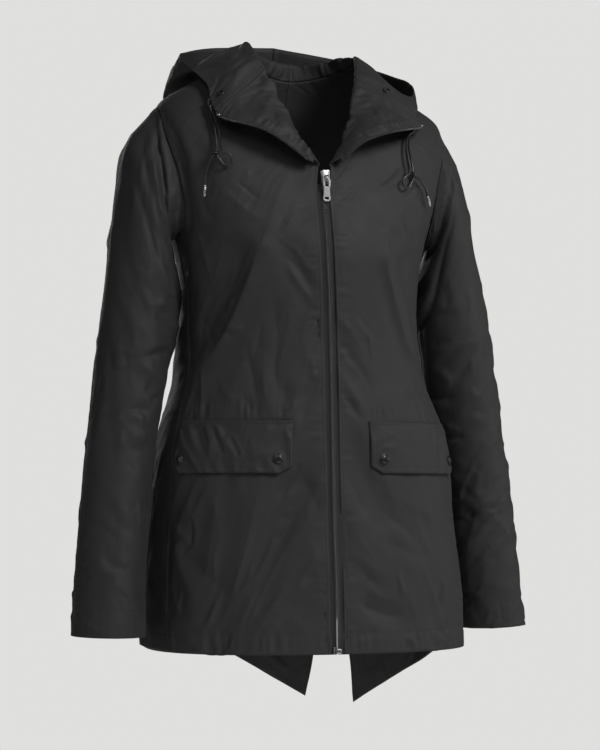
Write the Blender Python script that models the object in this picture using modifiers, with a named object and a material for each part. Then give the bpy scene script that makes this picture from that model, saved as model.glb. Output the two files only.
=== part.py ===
"""Women's hooded jacket, worn open at the neck, as thin cloth walls in metres, +Z up.

The front faces -Y and the wearer's left is +X. The origin is the middle of the neck, level with the
shoulders. Every panel is a patch of one of three surfaces: the torso, a sleeve, or the collar sheet that
makes the turned-out lapels and the hood lying behind the neck.
"""
from bisect import bisect_right
from collections import namedtuple
import math

import bmesh
import bpy
from mathutils import Vector
import numpy as np

WALL = 0.0013
SEAM = 0.0003

RIGHT = -1
LEFT = 1
SIDE_NAMES = {RIGHT: "right", LEFT: "left"}

# Torso, a row for each level. The three heights bend a ring up over the shoulders, and roundness is the
# exponent of its superellipse.
Ring = namedtuple("Ring", "level z_front z_side z_back middle half_right half_left front back roundness")
RINGS = (
    Ring(-0.810, -0.810, -0.810, -0.810, 0.006, 0.201, 0.204, 0.150, 0.142, 2.3),
    Ring(-0.714, -0.714, -0.714, -0.714, 0.006, 0.198, 0.199, 0.148, 0.138, 2.3),
    Ring(-0.633, -0.633, -0.633, -0.633, 0.006, 0.196, 0.196, 0.144, 0.134, 2.3),
    Ring(-0.555, -0.555, -0.555, -0.555, 0.005, 0.192, 0.188, 0.138, 0.130, 2.3),
    Ring(-0.480, -0.480, -0.480, -0.480, 0.005, 0.188, 0.182, 0.133, 0.124, 2.3),
    Ring(-0.440, -0.440, -0.440, -0.440, 0.005, 0.181, 0.174, 0.130, 0.118, 2.3),
    Ring(-0.383, -0.383, -0.383, -0.383, 0.005, 0.165, 0.150, 0.126, 0.103, 2.3),
    Ring(-0.330, -0.330, -0.330, -0.330, 0.004, 0.158, 0.143, 0.125, 0.096, 2.3),
    Ring(-0.284, -0.284, -0.284, -0.284, 0.002, 0.153, 0.142, 0.128, 0.097, 2.3),
    Ring(-0.237, -0.237, -0.237, -0.237, -0.001, 0.155, 0.150, 0.131, 0.102, 2.3),
    Ring(-0.205, -0.215, -0.205, -0.205, -0.002, 0.162, 0.160, 0.129, 0.105, 2.3),
    Ring(-0.128, -0.185, -0.128, -0.140, -0.002, 0.182, 0.180, 0.120, 0.107, 2.3),
    Ring(-0.052, -0.160, -0.052, -0.070, -0.002, 0.182, 0.180, 0.113, 0.096, 2.2),
    Ring(-0.012, -0.145, -0.012, -0.022, 0.000, 0.128, 0.124, 0.110, 0.080, 2.0),
    Ring(0.026, -0.131, 0.026, 0.012, 0.002, 0.079, 0.072, 0.108, 0.066, 1.75),
)
HEM = -0.7095
ARMPIT = -0.205
SHOULDER = -0.052
NECK = 0.026
SHOULDER_LIFT = {RIGHT: 0.009, LEFT: 0.0}
LIFT_LEVELS = (-0.20, -0.06)

# Cuts on the torso, as angles round it: 0 is the centre front, 180 the centre back.
ZIP_HALF_GAP = 0.0078
SIDE_SEAM_LOW = 69.0
SIDE_SEAM_HIGH = 84.0
SIDE_SEAM_LEVELS = (-0.46, -0.22)
ARMHOLE_FRONT = 22.0
ARMHOLE_BACK = 26.0
SHOULDER_SEAM = 90.0

# Fishtail back: how far each point hangs below the hem, and how far the two edges of the vent have swung to
# the left at each level below its top.
TAIL_DROP = {RIGHT: 0.0765, LEFT: 0.0865}
TAIL_WIDTH = 0.150
VENT_TOP = -0.56
VENT_SPAN = 75.0
Vent = namedtuple("Vent", "level right left")
VENT = (
    Vent(-0.800, 0.036, 0.105),
    Vent(-0.712, 0.050, 0.093),
    Vent(-0.640, 0.032, 0.052),
    Vent(-0.560, 0.000, 0.000),
)

# Sleeves, a row for each ring below the armhole. Lean turns the ring's outward axis up from level.
Cuff = namedtuple("Cuff", "x y z half_width half_depth lean")
SLEEVES = {
    RIGHT: (
        Cuff(-0.1970, 0.000, -0.160, 0.067, 0.066, 65.0),
        Cuff(-0.1990, 0.000, -0.226, 0.052, 0.062, 38.0),
        Cuff(-0.2040, -0.002, -0.290, 0.0465, 0.057, 12.0),
        Cuff(-0.2130, -0.006, -0.350, 0.0455, 0.054, 4.0),
        Cuff(-0.2210, -0.012, -0.410, 0.0440, 0.052, 4.0),
        Cuff(-0.2310, -0.022, -0.480, 0.0425, 0.050, 4.0),
        Cuff(-0.2400, -0.034, -0.560, 0.0420, 0.049, 3.0),
        Cuff(-0.2455, -0.042, -0.630, 0.0425, 0.050, 2.0),
        Cuff(-0.2475, -0.045, -0.690, 0.0440, 0.051, 1.0),
    ),
    LEFT: (
        Cuff(0.1850, 0.004, -0.166, 0.057, 0.066, 68.0),
        Cuff(0.1900, 0.006, -0.226, 0.050, 0.062, 40.0),
        Cuff(0.1990, 0.008, -0.290, 0.0465, 0.057, 12.0),
        Cuff(0.2125, 0.010, -0.350, 0.0455, 0.054, 4.0),
        Cuff(0.2235, 0.012, -0.410, 0.0440, 0.052, 4.0),
        Cuff(0.2330, 0.014, -0.480, 0.0425, 0.050, 5.0),
        Cuff(0.2445, 0.016, -0.560, 0.0415, 0.049, 5.0),
        Cuff(0.2535, 0.018, -0.630, 0.0415, 0.050, 4.0),
        Cuff(0.2610, 0.020, -0.690, 0.0410, 0.051, 3.0),
    ),
}

SLEEVE_PLACES = (0.0, 0.10, 0.18, 0.28, 0.385, 0.49, 0.61, 0.75, 0.875, 1.0)
SLEEVE_SEAM_TURNS = (85.0, 130.0)
SLEEVE_EDGE_LEAN = 0.5
SLEEVE_GIRTH = 0.25
ARMHOLE_GAP = 0.001
ARMHOLE_REACH = 0.06

# Collar sheet, a row for each section from the bottom of the open neck round to the centre back. A section
# leaves the neck edge at an angle round the torso and runs by two points to its free edge.
Fold = namedtuple("Fold", "neck_angle stand inner outer edge")
COLLAR = {
    RIGHT: (
        Fold(5.0, 0.002, (-0.010, -0.115, -0.125), (-0.011, -0.117, -0.127), (-0.012, -0.118, -0.129)),
        Fold(20.0, 0.004, (-0.030, -0.110, -0.096), (-0.036, -0.118, -0.102), (-0.043, -0.122, -0.107)),
        Fold(34.0, 0.006, (-0.050, -0.098, -0.066), (-0.062, -0.110, -0.077), (-0.076, -0.117, -0.087)),
        Fold(52.0, 0.008, (-0.074, -0.076, -0.038), (-0.096, -0.088, -0.053), (-0.121, -0.092, -0.070)),
        Fold(72.0, 0.008, (-0.088, -0.050, 0.002), (-0.108, -0.064, -0.020), (-0.130, -0.068, -0.047)),
        Fold(92.0, 0.008, (-0.094, -0.016, 0.026), (-0.112, -0.034, 0.004), (-0.132, -0.046, -0.020)),
        Fold(106.0, 0.012, (-0.112, 0.020, 0.018), (-0.158, 0.022, -0.004), (-0.152, 0.010, 0.022)),
        Fold(126.0, 0.014, (-0.104, 0.074, -0.022), (-0.158, 0.096, -0.034), (-0.131, 0.070, 0.045)),
        Fold(152.0, 0.016, (-0.056, 0.112, -0.064), (-0.100, 0.172, -0.076), (-0.082, 0.126, 0.066)),
        Fold(180.0, 0.018, (0.002, 0.124, -0.080), (0.002, 0.200, -0.092), (0.002, 0.148, 0.076)),
    ),
    LEFT: (
        Fold(5.0, 0.002, (0.014, -0.115, -0.125), (0.015, -0.117, -0.127), (0.016, -0.118, -0.129)),
        Fold(20.0, 0.004, (0.034, -0.110, -0.096), (0.039, -0.117, -0.098), (0.044, -0.120, -0.099)),
        Fold(34.0, 0.006, (0.056, -0.097, -0.066), (0.070, -0.109, -0.075), (0.084, -0.114, -0.082)),
        Fold(52.0, 0.008, (0.076, -0.074, -0.038), (0.103, -0.086, -0.053), (0.131, -0.084, -0.068)),
        Fold(72.0, 0.008, (0.086, -0.048, -0.002), (0.110, -0.058, -0.022), (0.135, -0.056, -0.052)),
        Fold(92.0, 0.008, (0.091, -0.016, 0.016), (0.115, -0.032, -0.012), (0.143, -0.036, -0.032)),
        Fold(106.0, 0.010, (0.108, 0.020, 0.004), (0.158, 0.022, -0.020), (0.158, 0.026, 0.008)),
        Fold(126.0, 0.014, (0.102, 0.074, -0.024), (0.164, 0.096, -0.040), (0.146, 0.074, 0.030)),
        Fold(152.0, 0.016, (0.056, 0.112, -0.064), (0.102, 0.170, -0.076), (0.096, 0.126, 0.058)),
        Fold(180.0, 0.018, (0.002, 0.124, -0.080), (0.002, 0.200, -0.092), (0.002, 0.148, 0.076)),
    ),
}
NECK_SEAM_GAP = 0.12
COLLAR_PLACES = (0.0, 0.10, 0.34, 0.68, 1.0)
STAND_LEAN = 0.5

# Steps over which the surfaces' slopes are taken.
TORSO_TURN_STEP = 0.5
TORSO_STEP = 0.002
SLEEVE_TURN_STEP = 1.0
SLEEVE_STEP = 0.004
COLLAR_TURN_STEP = 0.4
COLLAR_STEP = 0.02
NECK_STEP = 0.006

# Largest folds of the shell, a row for each: a line over the unrolled torso from one place to another,
# how far the cloth stands out there (troughs are negative) and how wide the fold is.
Crease = namedtuple("Crease", "side angle level to_angle to_level height width")
CREASES = (
    Crease(RIGHT, 28.0, -0.228, 58.0, -0.374, 0.0050, 0.022),
    Crease(RIGHT, 40.0, -0.240, 68.0, -0.350, -0.0055, 0.028),
    Crease(RIGHT, 15.6, -0.231, 5.0, -0.290, -0.0030, 0.018),
    Crease(RIGHT, 10.0, -0.515, 26.0, -0.630, -0.0050, 0.020),
    Crease(RIGHT, 46.0, -0.080, 60.0, -0.200, -0.0040, 0.022),
    Crease(LEFT, 30.0, -0.240, 50.0, -0.335, 0.0050, 0.020),
    Crease(LEFT, 42.0, -0.250, 62.0, -0.330, -0.0045, 0.024),
    Crease(LEFT, 4.0, -0.470, 18.0, -0.550, -0.0040, 0.018),
    Crease(LEFT, 7.0, -0.648, 24.0, -0.672, -0.0030, 0.018),
    Crease(RIGHT, 150.0, -0.250, 138.0, -0.420, -0.0050, 0.030),
    Crease(LEFT, 146.0, -0.240, 136.0, -0.400, -0.0050, 0.030),
    Crease(RIGHT, 166.0, -0.340, 158.0, -0.550, -0.0040, 0.026),
    Crease(LEFT, 164.0, -0.330, 156.0, -0.530, -0.0040, 0.026),
)
CREASE_RADIUS = 0.15
CREASE_FADE = 9.0

# Pocket flaps on the fronts, with cut-off lower corners and a press snap near each.
FLAP_ANGLES = (12.5, 66.0)
FLAP_TOP = -0.4355
FLAP_BOTTOM = -0.498
FLAP_WALL = 0.0016
FLAP_CLEAR = (0.0005, 0.0030)
FLAP_CHAMFER = 0.009
FLAP_COLUMNS = 12
FLAP_ROWS = 3
SNAP_ANGLES = (17.5, 62.0)
SNAP_LEVEL = -0.481
SNAP_RADIUS = 0.006
SNAP_HEIGHT = 0.0024
DOME_PROFILE = ((0.0, 1.0), (0.45, 0.94), (0.80, 0.72), (1.0, 0.38), (1.0, 0.0), (0.0, 0.0))
DOME_STEPS = 12

# Zip: chain between two tapes, closed up to the slider.
TAPE_REACH = 0.0008
TAPE_UNDER = 0.30
TAPE_CLEAR = 0.0006
TAPE_WALL = 0.0010
CHAIN_HALF = 0.0034
CHAIN_WALL = 0.0022
SLIDER_TOP = -0.1325
SLIDER_SIZE = (0.010, 0.0070, 0.017)
SLIDER_FORWARD = 0.0007
SLIDER_EDGE = 0.0012
BRIDGE_WIRE = 0.0009
BRIDGE_REACH = 0.0080
BRIDGE_HEIGHT = 0.0086
BRIDGE_LIFT = 0.0011
BRIDGE_POINTS = 9
BRIDGE_SQUARENESS = 0.6
BRIDGE_STEP = 0.0025
HINGE_HEIGHT = -0.1450
HINGE_FORWARD = 0.0040
TAB_WIDTH = 0.0082
TAB_ABOVE = 0.0014
TAB_BELOW = 0.0266
TAB_WALL = 0.0016
TAB_WINDOW = (0.0040, -0.0011, -0.0085)
TAB_SLOT = (0.0042, -0.0215, -0.0245)
TAB_CORNER = 0.0013
HOLE_CORNER = 0.0008
BOX_SIZE = (0.0098, 0.0046, 0.0110)
BOX_EDGE = 0.0008
EDGE_WIRE = 0.0015
EDGE_STEP = 0.012
EDGE_CLEAR = 0.0009

# Drawcord ends: a strand with a ring knot and a metal end, and a second strand that turns back in a loop.
CORD_RADIUS = 0.0014
CORD_STEP = 0.005
KNOT_RADIUS = 0.0032
KNOT_WIRE = 0.0014
TIP_RADIUS = 0.0016
TIP_LENGTH = 0.014
CORD_EXITS = {RIGHT: (75.0, 68.0), LEFT: (70.0, 63.0)}
CORD_GAP = 0.0013
CORD_LEAD = 0.003
CORD_ROUTES = {
    RIGHT: (
        (-0.1325, -0.0725, -0.0600),
        (-0.1290, -0.0840, -0.0830),
        (-0.1290, -0.0930, -0.1050),
        (-0.1305, -0.0970, -0.1150),
        (-0.1375, -0.0955, -0.1250),
        (-0.1415, -0.0930, -0.1400),
        (-0.1420, -0.0920, -0.1545),
    ),
    LEFT: (
        (0.1360, -0.0620, -0.0630),
        (0.1290, -0.0690, -0.0710),
        (0.1200, -0.0775, -0.0800),
        (0.1160, -0.0860, -0.0940),
        (0.1160, -0.0940, -0.1090),
        (0.1165, -0.0985, -0.1210),
        (0.1180, -0.1005, -0.1310),
        (0.1270, -0.0985, -0.1380),
        (0.1350, -0.0940, -0.1470),
        (0.1385, -0.0910, -0.1560),
    ),
}
KNOT_POINTS = {RIGHT: 3, LEFT: 6}
LOOP_ROUTES = {
    RIGHT: (
        (-0.1290, -0.0770, -0.0640),
        (-0.1248, -0.0860, -0.0850),
        (-0.1245, -0.0965, -0.1050),
        (-0.1225, -0.1020, -0.1150),
        (-0.1150, -0.1035, -0.1175),
        (-0.1118, -0.1030, -0.1235),
        (-0.1150, -0.1020, -0.1295),
        (-0.1215, -0.1010, -0.1290),
        (-0.1262, -0.1000, -0.1230),
    ),
    LEFT: (
        (0.1330, -0.0730, -0.0670),
        (0.1245, -0.0785, -0.0730),
        (0.1155, -0.0840, -0.0810),
        (0.1115, -0.0910, -0.0950),
        (0.1110, -0.0975, -0.1090),
        (0.1118, -0.1025, -0.1220),
        (0.1090, -0.1070, -0.1320),
        (0.1025, -0.1095, -0.1370),
        (0.1005, -0.1095, -0.1440),
        (0.1045, -0.1080, -0.1490),
        (0.1100, -0.1055, -0.1470),
        (0.1140, -0.1040, -0.1405),
    ),
}
EYELETS = {RIGHT: (69.0, 0.84), LEFT: (65.0, 0.48)}
EYELET_RADIUS = 0.0034
EYELET_WIRE = 0.0009
RING_STEPS = 12
WIRE_STEPS = 6

FRONT_COLUMNS = 11
BACK_COLUMNS = 11
BODY_ROWS = 13
ARMHOLE_ROWS = 8
SHOULDER_ROWS = 3
SLEEVE_COLUMNS = ARMHOLE_ROWS
SLEEVE_ROWS = 15
LAPEL_COLUMNS = 6
LAPEL_ROWS = 7
HOOD_COLUMNS = 11

CLOTH_COLOR = (0.030, 0.030, 0.032)
TAPE_COLOR = (0.020, 0.020, 0.021)
CHAIN_COLOR = (0.110, 0.110, 0.112)
STEEL_COLOR = (0.420, 0.420, 0.430)
SNAP_COLOR = (0.022, 0.022, 0.024)
CORD_COLOR = (0.016, 0.016, 0.017)


def cubic(values, places, at):
    """Point at a place on a smooth curve through values, which may be any arrays of one shape."""
    i = min(max(bisect_right(places, at) - 1, 0), len(places) - 2)
    span = places[i + 1] - places[i]
    t = (at - places[i]) / span

    def slope(k):
        low = max(k - 1, 0)
        high = min(k + 1, len(places) - 1)
        return (values[high] - values[low]) / (places[high] - places[low])

    rise = slope(i) * span
    fall = slope(i + 1) * span
    step = values[i + 1] - values[i]
    return values[i] + t * rise + t * t * (3 * step - 2 * rise - fall) + t ** 3 * (rise + fall - 2 * step)


def smooth(t):
    t = min(max(t, 0.0), 1.0)
    return t * t * (3 - 2 * t)


def mix(a, b, t):
    return a + (b - a) * t


RING_LEVELS = [ring.level for ring in RINGS]
RING_VALUES = [np.array(ring) for ring in RINGS]


def ring_at(level):
    return Ring(*cubic(RING_VALUES, RING_LEVELS, level))


def torso_point(side, angle, level):
    """Point of the torso's outer skin at an angle round from the centre front."""
    ring = ring_at(level)
    forward = math.cos(math.radians(angle))
    outward = max(math.sin(math.radians(angle)), 0.0)
    half = ring.half_right if side == RIGHT else ring.half_left
    depth = ring.front if forward > 0 else ring.back
    end = ring.z_front if forward > 0 else ring.z_back
    power = 2 / ring.roundness
    x = ring.middle + side * half * outward ** power
    y = -math.copysign(depth * abs(forward) ** power, forward)
    z = mix(ring.z_side, end, forward * forward)
    low, high = LIFT_LEVELS
    z += SHOULDER_LIFT[side] * outward * outward * smooth((level - low) / (high - low))
    x += vent_edge(side, level) * smooth((angle - 180 + VENT_SPAN) / VENT_SPAN)
    fold = crease_height(side, angle, level)
    return np.array((x + side * outward * fold, y - forward * fold, z))


def crease_height(side, angle, level):
    """How far the folds move the torso's skin out at a place."""
    height = 0.0
    here = np.array((math.radians(angle) * CREASE_RADIUS, level))
    for row in CREASES:
        if row.side != side:
            continue
        start = np.array((math.radians(row.angle) * CREASE_RADIUS, row.level))
        run = np.array((math.radians(row.to_angle) * CREASE_RADIUS, row.to_level)) - start
        share = min(max(np.dot(here - start, run) / np.dot(run, run), 0.0), 1.0)
        away = np.linalg.norm(here - start - run * share) / row.width
        height += row.height * math.exp(-away * away)
    return height * smooth(angle / CREASE_FADE) * smooth((180 - angle) / CREASE_FADE)


def vent_edge(side, level):
    """Sideways swing of one edge of the vent, none above its top."""
    if level >= VENT_TOP:
        return 0.0
    vent = Vent(*cubic([np.array(row) for row in VENT], [row.level for row in VENT], level))
    return vent.right if side == RIGHT else vent.left


def torso_normal(side, angle, level):
    angle = min(max(angle, TORSO_TURN_STEP), 180 - TORSO_TURN_STEP)
    around = torso_point(side, angle + TORSO_TURN_STEP, level)
    around = around - torso_point(side, angle - TORSO_TURN_STEP, level)
    climb = torso_point(side, angle, level + TORSO_STEP) - torso_point(side, angle, level - TORSO_STEP)
    normal = np.cross(around, climb) * side
    return normal / np.linalg.norm(normal)


def flat_across(normal):
    """Normal with no sideways share, so that two halves meet in a plane."""
    flat = normal * (0.0, 1.0, 1.0)
    return flat / np.linalg.norm(flat)


def angle_beside_front(side, level, reach):
    """Angle at which the torso's skin is this far from the centre-front line."""
    ring = ring_at(level)
    half = ring.half_right if side == RIGHT else ring.half_left
    return math.degrees(math.asin((reach / half) ** (ring.roundness / 2)))


def side_seam(level):
    low, high = SIDE_SEAM_LEVELS
    return mix(SIDE_SEAM_LOW, SIDE_SEAM_HIGH, smooth((level - low) / (high - low)))


def armhole_angle(level, reach):
    """Where a panel ends beside the armhole, which is an oval on the unrolled torso."""
    middle = (ARMPIT + SHOULDER) / 2
    across = (level - middle) / (SHOULDER - middle)
    centre = mix(SIDE_SEAM_HIGH, SHOULDER_SEAM, (level - ARMPIT) / (SHOULDER - ARMPIT))
    return centre + reach * math.sqrt(max(1 - across * across, 0.0))


def panel_levels():
    """Row levels of a body panel as fractions of hem to armpit, then as true levels."""
    rows = [mix(HEM, ARMPIT, k / BODY_ROWS) for k in range(BODY_ROWS)]
    middle = (ARMPIT + SHOULDER) / 2
    for k in range(ARMHOLE_ROWS):
        rows.append(middle - (SHOULDER - middle) * math.cos(math.pi * k / ARMHOLE_ROWS))
    for k in range(SHOULDER_ROWS + 1):
        rows.append(mix(SHOULDER, NECK, k / SHOULDER_ROWS))
    return rows


def outer_angle(level, reach):
    if level <= ARMPIT:
        return side_seam(level)
    if level < SHOULDER:
        return armhole_angle(level, reach)
    return SHOULDER_SEAM


def tail_level(side, angle, level):
    """Level of a back panel's row, lowered towards the point of its tail."""
    reach = torso_point(side, angle, HEM) - torso_point(side, 180.0, HEM)
    away = math.hypot(reach[0], reach[1])
    drop = TAIL_DROP[side] * max(1 - away / TAIL_WIDTH, 0.0)
    return level - drop * smooth((VENT_TOP - level) / (VENT_TOP - HEM))


def seam_angle(side, angle, level, gap):
    """Angle moved round by a seam's half gap, away from the panel's own seam line."""
    here = torso_point(side, angle, level)
    there = torso_point(side, angle + math.copysign(TORSO_TURN_STEP, gap), level)
    return angle + gap / np.linalg.norm(there - here) * TORSO_TURN_STEP


def front_grid(side):
    points, normals = [], []
    for level in panel_levels():
        first = angle_beside_front(side, level, ZIP_HALF_GAP)
        last = seam_angle(side, outer_angle(level, -ARMHOLE_FRONT), level, -SEAM / 2)
        for k in range(FRONT_COLUMNS + 1):
            angle = mix(first, last, k / FRONT_COLUMNS)
            points.append(torso_point(side, angle, level))
            normals.append(torso_normal(side, angle, level))
    return points, normals


def back_grid(side):
    points, normals = [], []
    for level in panel_levels():
        first = seam_angle(side, outer_angle(level, ARMHOLE_BACK), level, SEAM / 2)
        for k in range(BACK_COLUMNS + 1):
            angle = mix(first, 180.0, k / BACK_COLUMNS)
            low = tail_level(side, angle, level)
            point = torso_point(side, angle, low)
            normal = torso_normal(side, angle, low)
            if k == BACK_COLUMNS:
                point[0] += side * SEAM / 2
                normal = flat_across(normal)
            points.append(point)
            normals.append(normal)
    return points, normals


def armhole_point(side, turn, gap=0.0):
    """Place on the armhole's edge, from the shoulder at 0 by the front at 90 to the armpit at 180."""
    middle = (ARMPIT + SHOULDER) / 2
    level = middle + (SHOULDER - middle - gap) * math.cos(math.radians(turn))
    across = math.sin(math.radians(turn))
    reach = -ARMHOLE_FRONT if across > 0 else ARMHOLE_BACK
    centre = mix(SIDE_SEAM_HIGH, SHOULDER_SEAM, (level - ARMPIT) / (SHOULDER - ARMPIT))
    shrink = 1 - gap / ARMHOLE_REACH
    return centre + reach * shrink * abs(across), level


def sleeve_point(side, turn, along):
    """Point on a sleeve's rings; along runs from 0 at the armhole to 1 at the cuff."""
    angle, level = armhole_point(side, turn, ARMHOLE_GAP)
    over, under = SLEEVE_SEAM_TURNS
    clear = ARMHOLE_GAP * smooth((abs(turn) - over) / (under - over))
    stations = [torso_point(side, angle, level) + torso_normal(side, angle, level) * clear]
    for ring in SLEEVES[side]:
        lean = math.radians(ring.lean)
        out = math.cos(math.radians(turn)) * ring.half_width
        fore = -math.sin(math.radians(turn)) * ring.half_depth
        shift = np.array((side * out * math.cos(lean), fore, out * math.sin(lean)))
        stations.append(np.array((ring.x, ring.y, ring.z)) + shift)
    return cubic(stations, SLEEVE_PLACES, along)


def sleeve_skin(side, turn, along):
    """Outer skin and the way its wall faces, which at the armhole leans towards the panel's own wall."""
    angle, level = armhole_point(side, turn, ARMHOLE_GAP)
    around = sleeve_point(side, turn + SLEEVE_TURN_STEP, along)
    around = around - sleeve_point(side, turn - SLEEVE_TURN_STEP, along)
    low = min(along + SLEEVE_STEP, 1.0)
    high = max(along - SLEEVE_STEP, 0.0)
    down = sleeve_point(side, turn, low) - sleeve_point(side, turn, high)
    normal = np.cross(around, down) * side
    normal = normal / np.linalg.norm(normal)
    over, under = SLEEVE_SEAM_TURNS
    share = max(smooth(along / SLEEVE_PLACES[1]), smooth((abs(turn) - over) / (under - over)))
    facing = mix(torso_normal(side, angle, level), normal, max(share, SLEEVE_EDGE_LEAN))
    return sleeve_point(side, turn, along) + normal * WALL * share, facing / np.linalg.norm(facing)


def sleeve_grid(side, first_turn, last_turn):
    points, normals = [], []
    for row in range(SLEEVE_ROWS + 1):
        along = row / SLEEVE_ROWS
        gap = math.degrees(SEAM / SLEEVE_GIRTH * math.pi)
        for k in range(SLEEVE_COLUMNS + 1):
            turn = mix(first_turn + gap, last_turn - gap, k / SLEEVE_COLUMNS)
            point, facing = sleeve_skin(side, turn, along)
            points.append(point)
            normals.append(facing)
    return points, normals


def neck_angles(side):
    """Angles of the panels' columns at the neck edge, front then back, so that the collar meets each one."""
    first = angle_beside_front(side, NECK, ZIP_HALF_GAP)
    front = [mix(first, SHOULDER_SEAM, k / FRONT_COLUMNS) for k in range(FRONT_COLUMNS + 1)]
    return front + [mix(SHOULDER_SEAM, 180.0, k / BACK_COLUMNS) for k in range(1, BACK_COLUMNS + 1)]


def collar_point(side, angle, across):
    """Point of the collar sheet at an angle round the neck; across runs from neck edge to free edge."""
    folds = COLLAR[side]
    places = [fold.neck_angle for fold in folds]
    neck = torso_point(side, angle, NECK)
    rise = neck - torso_point(side, angle, NECK - NECK_STEP)
    rise = rise / np.linalg.norm(rise)
    lean = torso_normal(side, angle, NECK) * STAND_LEAN
    stand = cubic([fold.stand for fold in folds], places, angle)
    stations = [neck + rise * SEAM, neck + (rise + lean) * stand]
    for column in ("inner", "outer", "edge"):
        values = [np.array(getattr(fold, column)) for fold in folds]
        stations.append(cubic(values, places, angle))
    return cubic(stations, COLLAR_PLACES, across)


def collar_normal(side, angle, across):
    along = collar_point(side, min(angle + COLLAR_TURN_STEP, 180.0), across)
    along = along - collar_point(side, max(angle - COLLAR_TURN_STEP, COLLAR[side][0].neck_angle), across)
    over = collar_point(side, angle, min(across + COLLAR_STEP, 1))
    over = over - collar_point(side, angle, max(across - COLLAR_STEP, 0))
    normal = np.cross(along, over) * side
    normal = normal / np.linalg.norm(normal)
    share = smooth(across / COLLAR_PLACES[1])
    normal = mix(torso_normal(side, angle, NECK), normal, share)
    return normal / np.linalg.norm(normal)


def collar_grid(side, angles, columns):
    points, normals = [], []
    for angle in angles:
        for j in range(columns + 1):
            point = collar_point(side, angle, j / columns)
            normal = collar_normal(side, angle, j / columns)
            if angle == 180.0:
                point[0] += side * SEAM / 2
                normal = flat_across(normal)
            points.append(point)
            normals.append(normal)
    return points, normals


def material(name, color, roughness, metallic=0.0):
    made = bpy.data.materials.new(name)
    made.use_nodes = True
    shader = made.node_tree.nodes["Principled BSDF"]
    shader.inputs["Base Color"].default_value = (*color, 1.0)
    shader.inputs["Roughness"].default_value = roughness
    shader.inputs["Metallic"].default_value = metallic
    return made


def add_object(name, mesh, finish):
    made = bpy.data.objects.new(name, mesh)
    made.data.materials.append(finish)
    jacket.objects.link(made)
    return made


def cloth_wall(name, grid, columns, finish, wall=WALL, outward=0.0):
    """Closed wall over a grid of points: the outer skin, then an inner one a wall's thickness in."""
    points, normals = grid
    rows = len(points) // (columns + 1) - 1
    skin = bmesh.new()
    bmesh.ops.create_grid(skin, x_segments=columns, y_segments=rows, size=1.0)
    source = skin.verts.layers.int.new("source")
    for k, (vert, point, normal) in enumerate(zip(skin.verts, points, normals)):
        vert[source] = k
        vert.co = point + normal * outward
    made = bmesh.ops.extrude_face_region(skin, geom=list(skin.faces), use_keep_orig=True)
    for item in made["geom"]:
        if isinstance(item, bmesh.types.BMVert):
            k = item[source]
            item.co = points[k] + normals[k] * (outward - wall)
    bmesh.ops.recalc_face_normals(skin, faces=list(skin.faces))
    if skin.calc_volume(signed=True) < 0:
        bmesh.ops.reverse_faces(skin, faces=list(skin.faces))
    mesh = bpy.data.meshes.new(name)
    skin.to_mesh(mesh)
    skin.free()
    mesh.shade_smooth()
    return add_object(name, mesh, finish)


def clear_scene():
    for item in list(bpy.data.objects):
        bpy.data.objects.remove(item)


def build_cloth():
    for side, word in SIDE_NAMES.items():
        cloth = material("shell_cloth_" + word, CLOTH_COLOR, 0.62)
        cloth_wall("front_" + word, front_grid(side), FRONT_COLUMNS, cloth)
        cloth_wall("back_" + word, back_grid(side), BACK_COLUMNS, cloth)
        cloth_wall("sleeve_front_" + word, sleeve_grid(side, 0, 180), SLEEVE_COLUMNS, cloth)
        cloth_wall("sleeve_back_" + word, sleeve_grid(side, -180, 0), SLEEVE_COLUMNS, cloth)
        angles = neck_angles(side)
        seam = angles[LAPEL_ROWS]
        lapel = collar_grid(side, angles[:LAPEL_ROWS] + [seam - NECK_SEAM_GAP], LAPEL_COLUMNS)
        cloth_wall("lapel_" + word, lapel, LAPEL_COLUMNS, cloth)
        hood = collar_grid(side, [seam + NECK_SEAM_GAP] + angles[LAPEL_ROWS + 1:], HOOD_COLUMNS)
        cloth_wall("hood_" + word, hood, HOOD_COLUMNS, cloth)


def tube(name, points, radius, finish, step=CORD_STEP):
    """Round cord or wire on a smooth curve through the points."""
    stations = [np.array(point) for point in points]
    lengths = [0.0]
    for a, b in zip(stations, stations[1:]):
        lengths.append(lengths[-1] + float(np.linalg.norm(b - a)))
    count = max(int(round(lengths[-1] / step)), 1)
    route = [cubic(stations, lengths, lengths[-1] * k / count) for k in range(count + 1)]
    curve = bpy.data.curves.new(name, "CURVE")
    curve.dimensions = "3D"
    curve.bevel_depth = radius
    curve.bevel_resolution = 2
    curve.use_fill_caps = True
    spline = curve.splines.new("POLY")
    spline.points.add(len(route) - 1)
    for place, point in zip(spline.points, route):
        place.co = (*point, 1.0)
    return add_object(name, curve, finish)


def bevelled_block(name, size, centre, width, finish):
    block = bmesh.new()
    bmesh.ops.create_cube(block, size=1.0)
    bmesh.ops.scale(block, vec=size, verts=list(block.verts))
    mesh = bpy.data.meshes.new(name)
    block.to_mesh(mesh)
    block.free()
    made = add_object(name, mesh, finish)
    made.location = centre
    bevel = made.modifiers.new("edges", "BEVEL")
    bevel.width = width
    bevel.segments = 2
    return made


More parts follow.
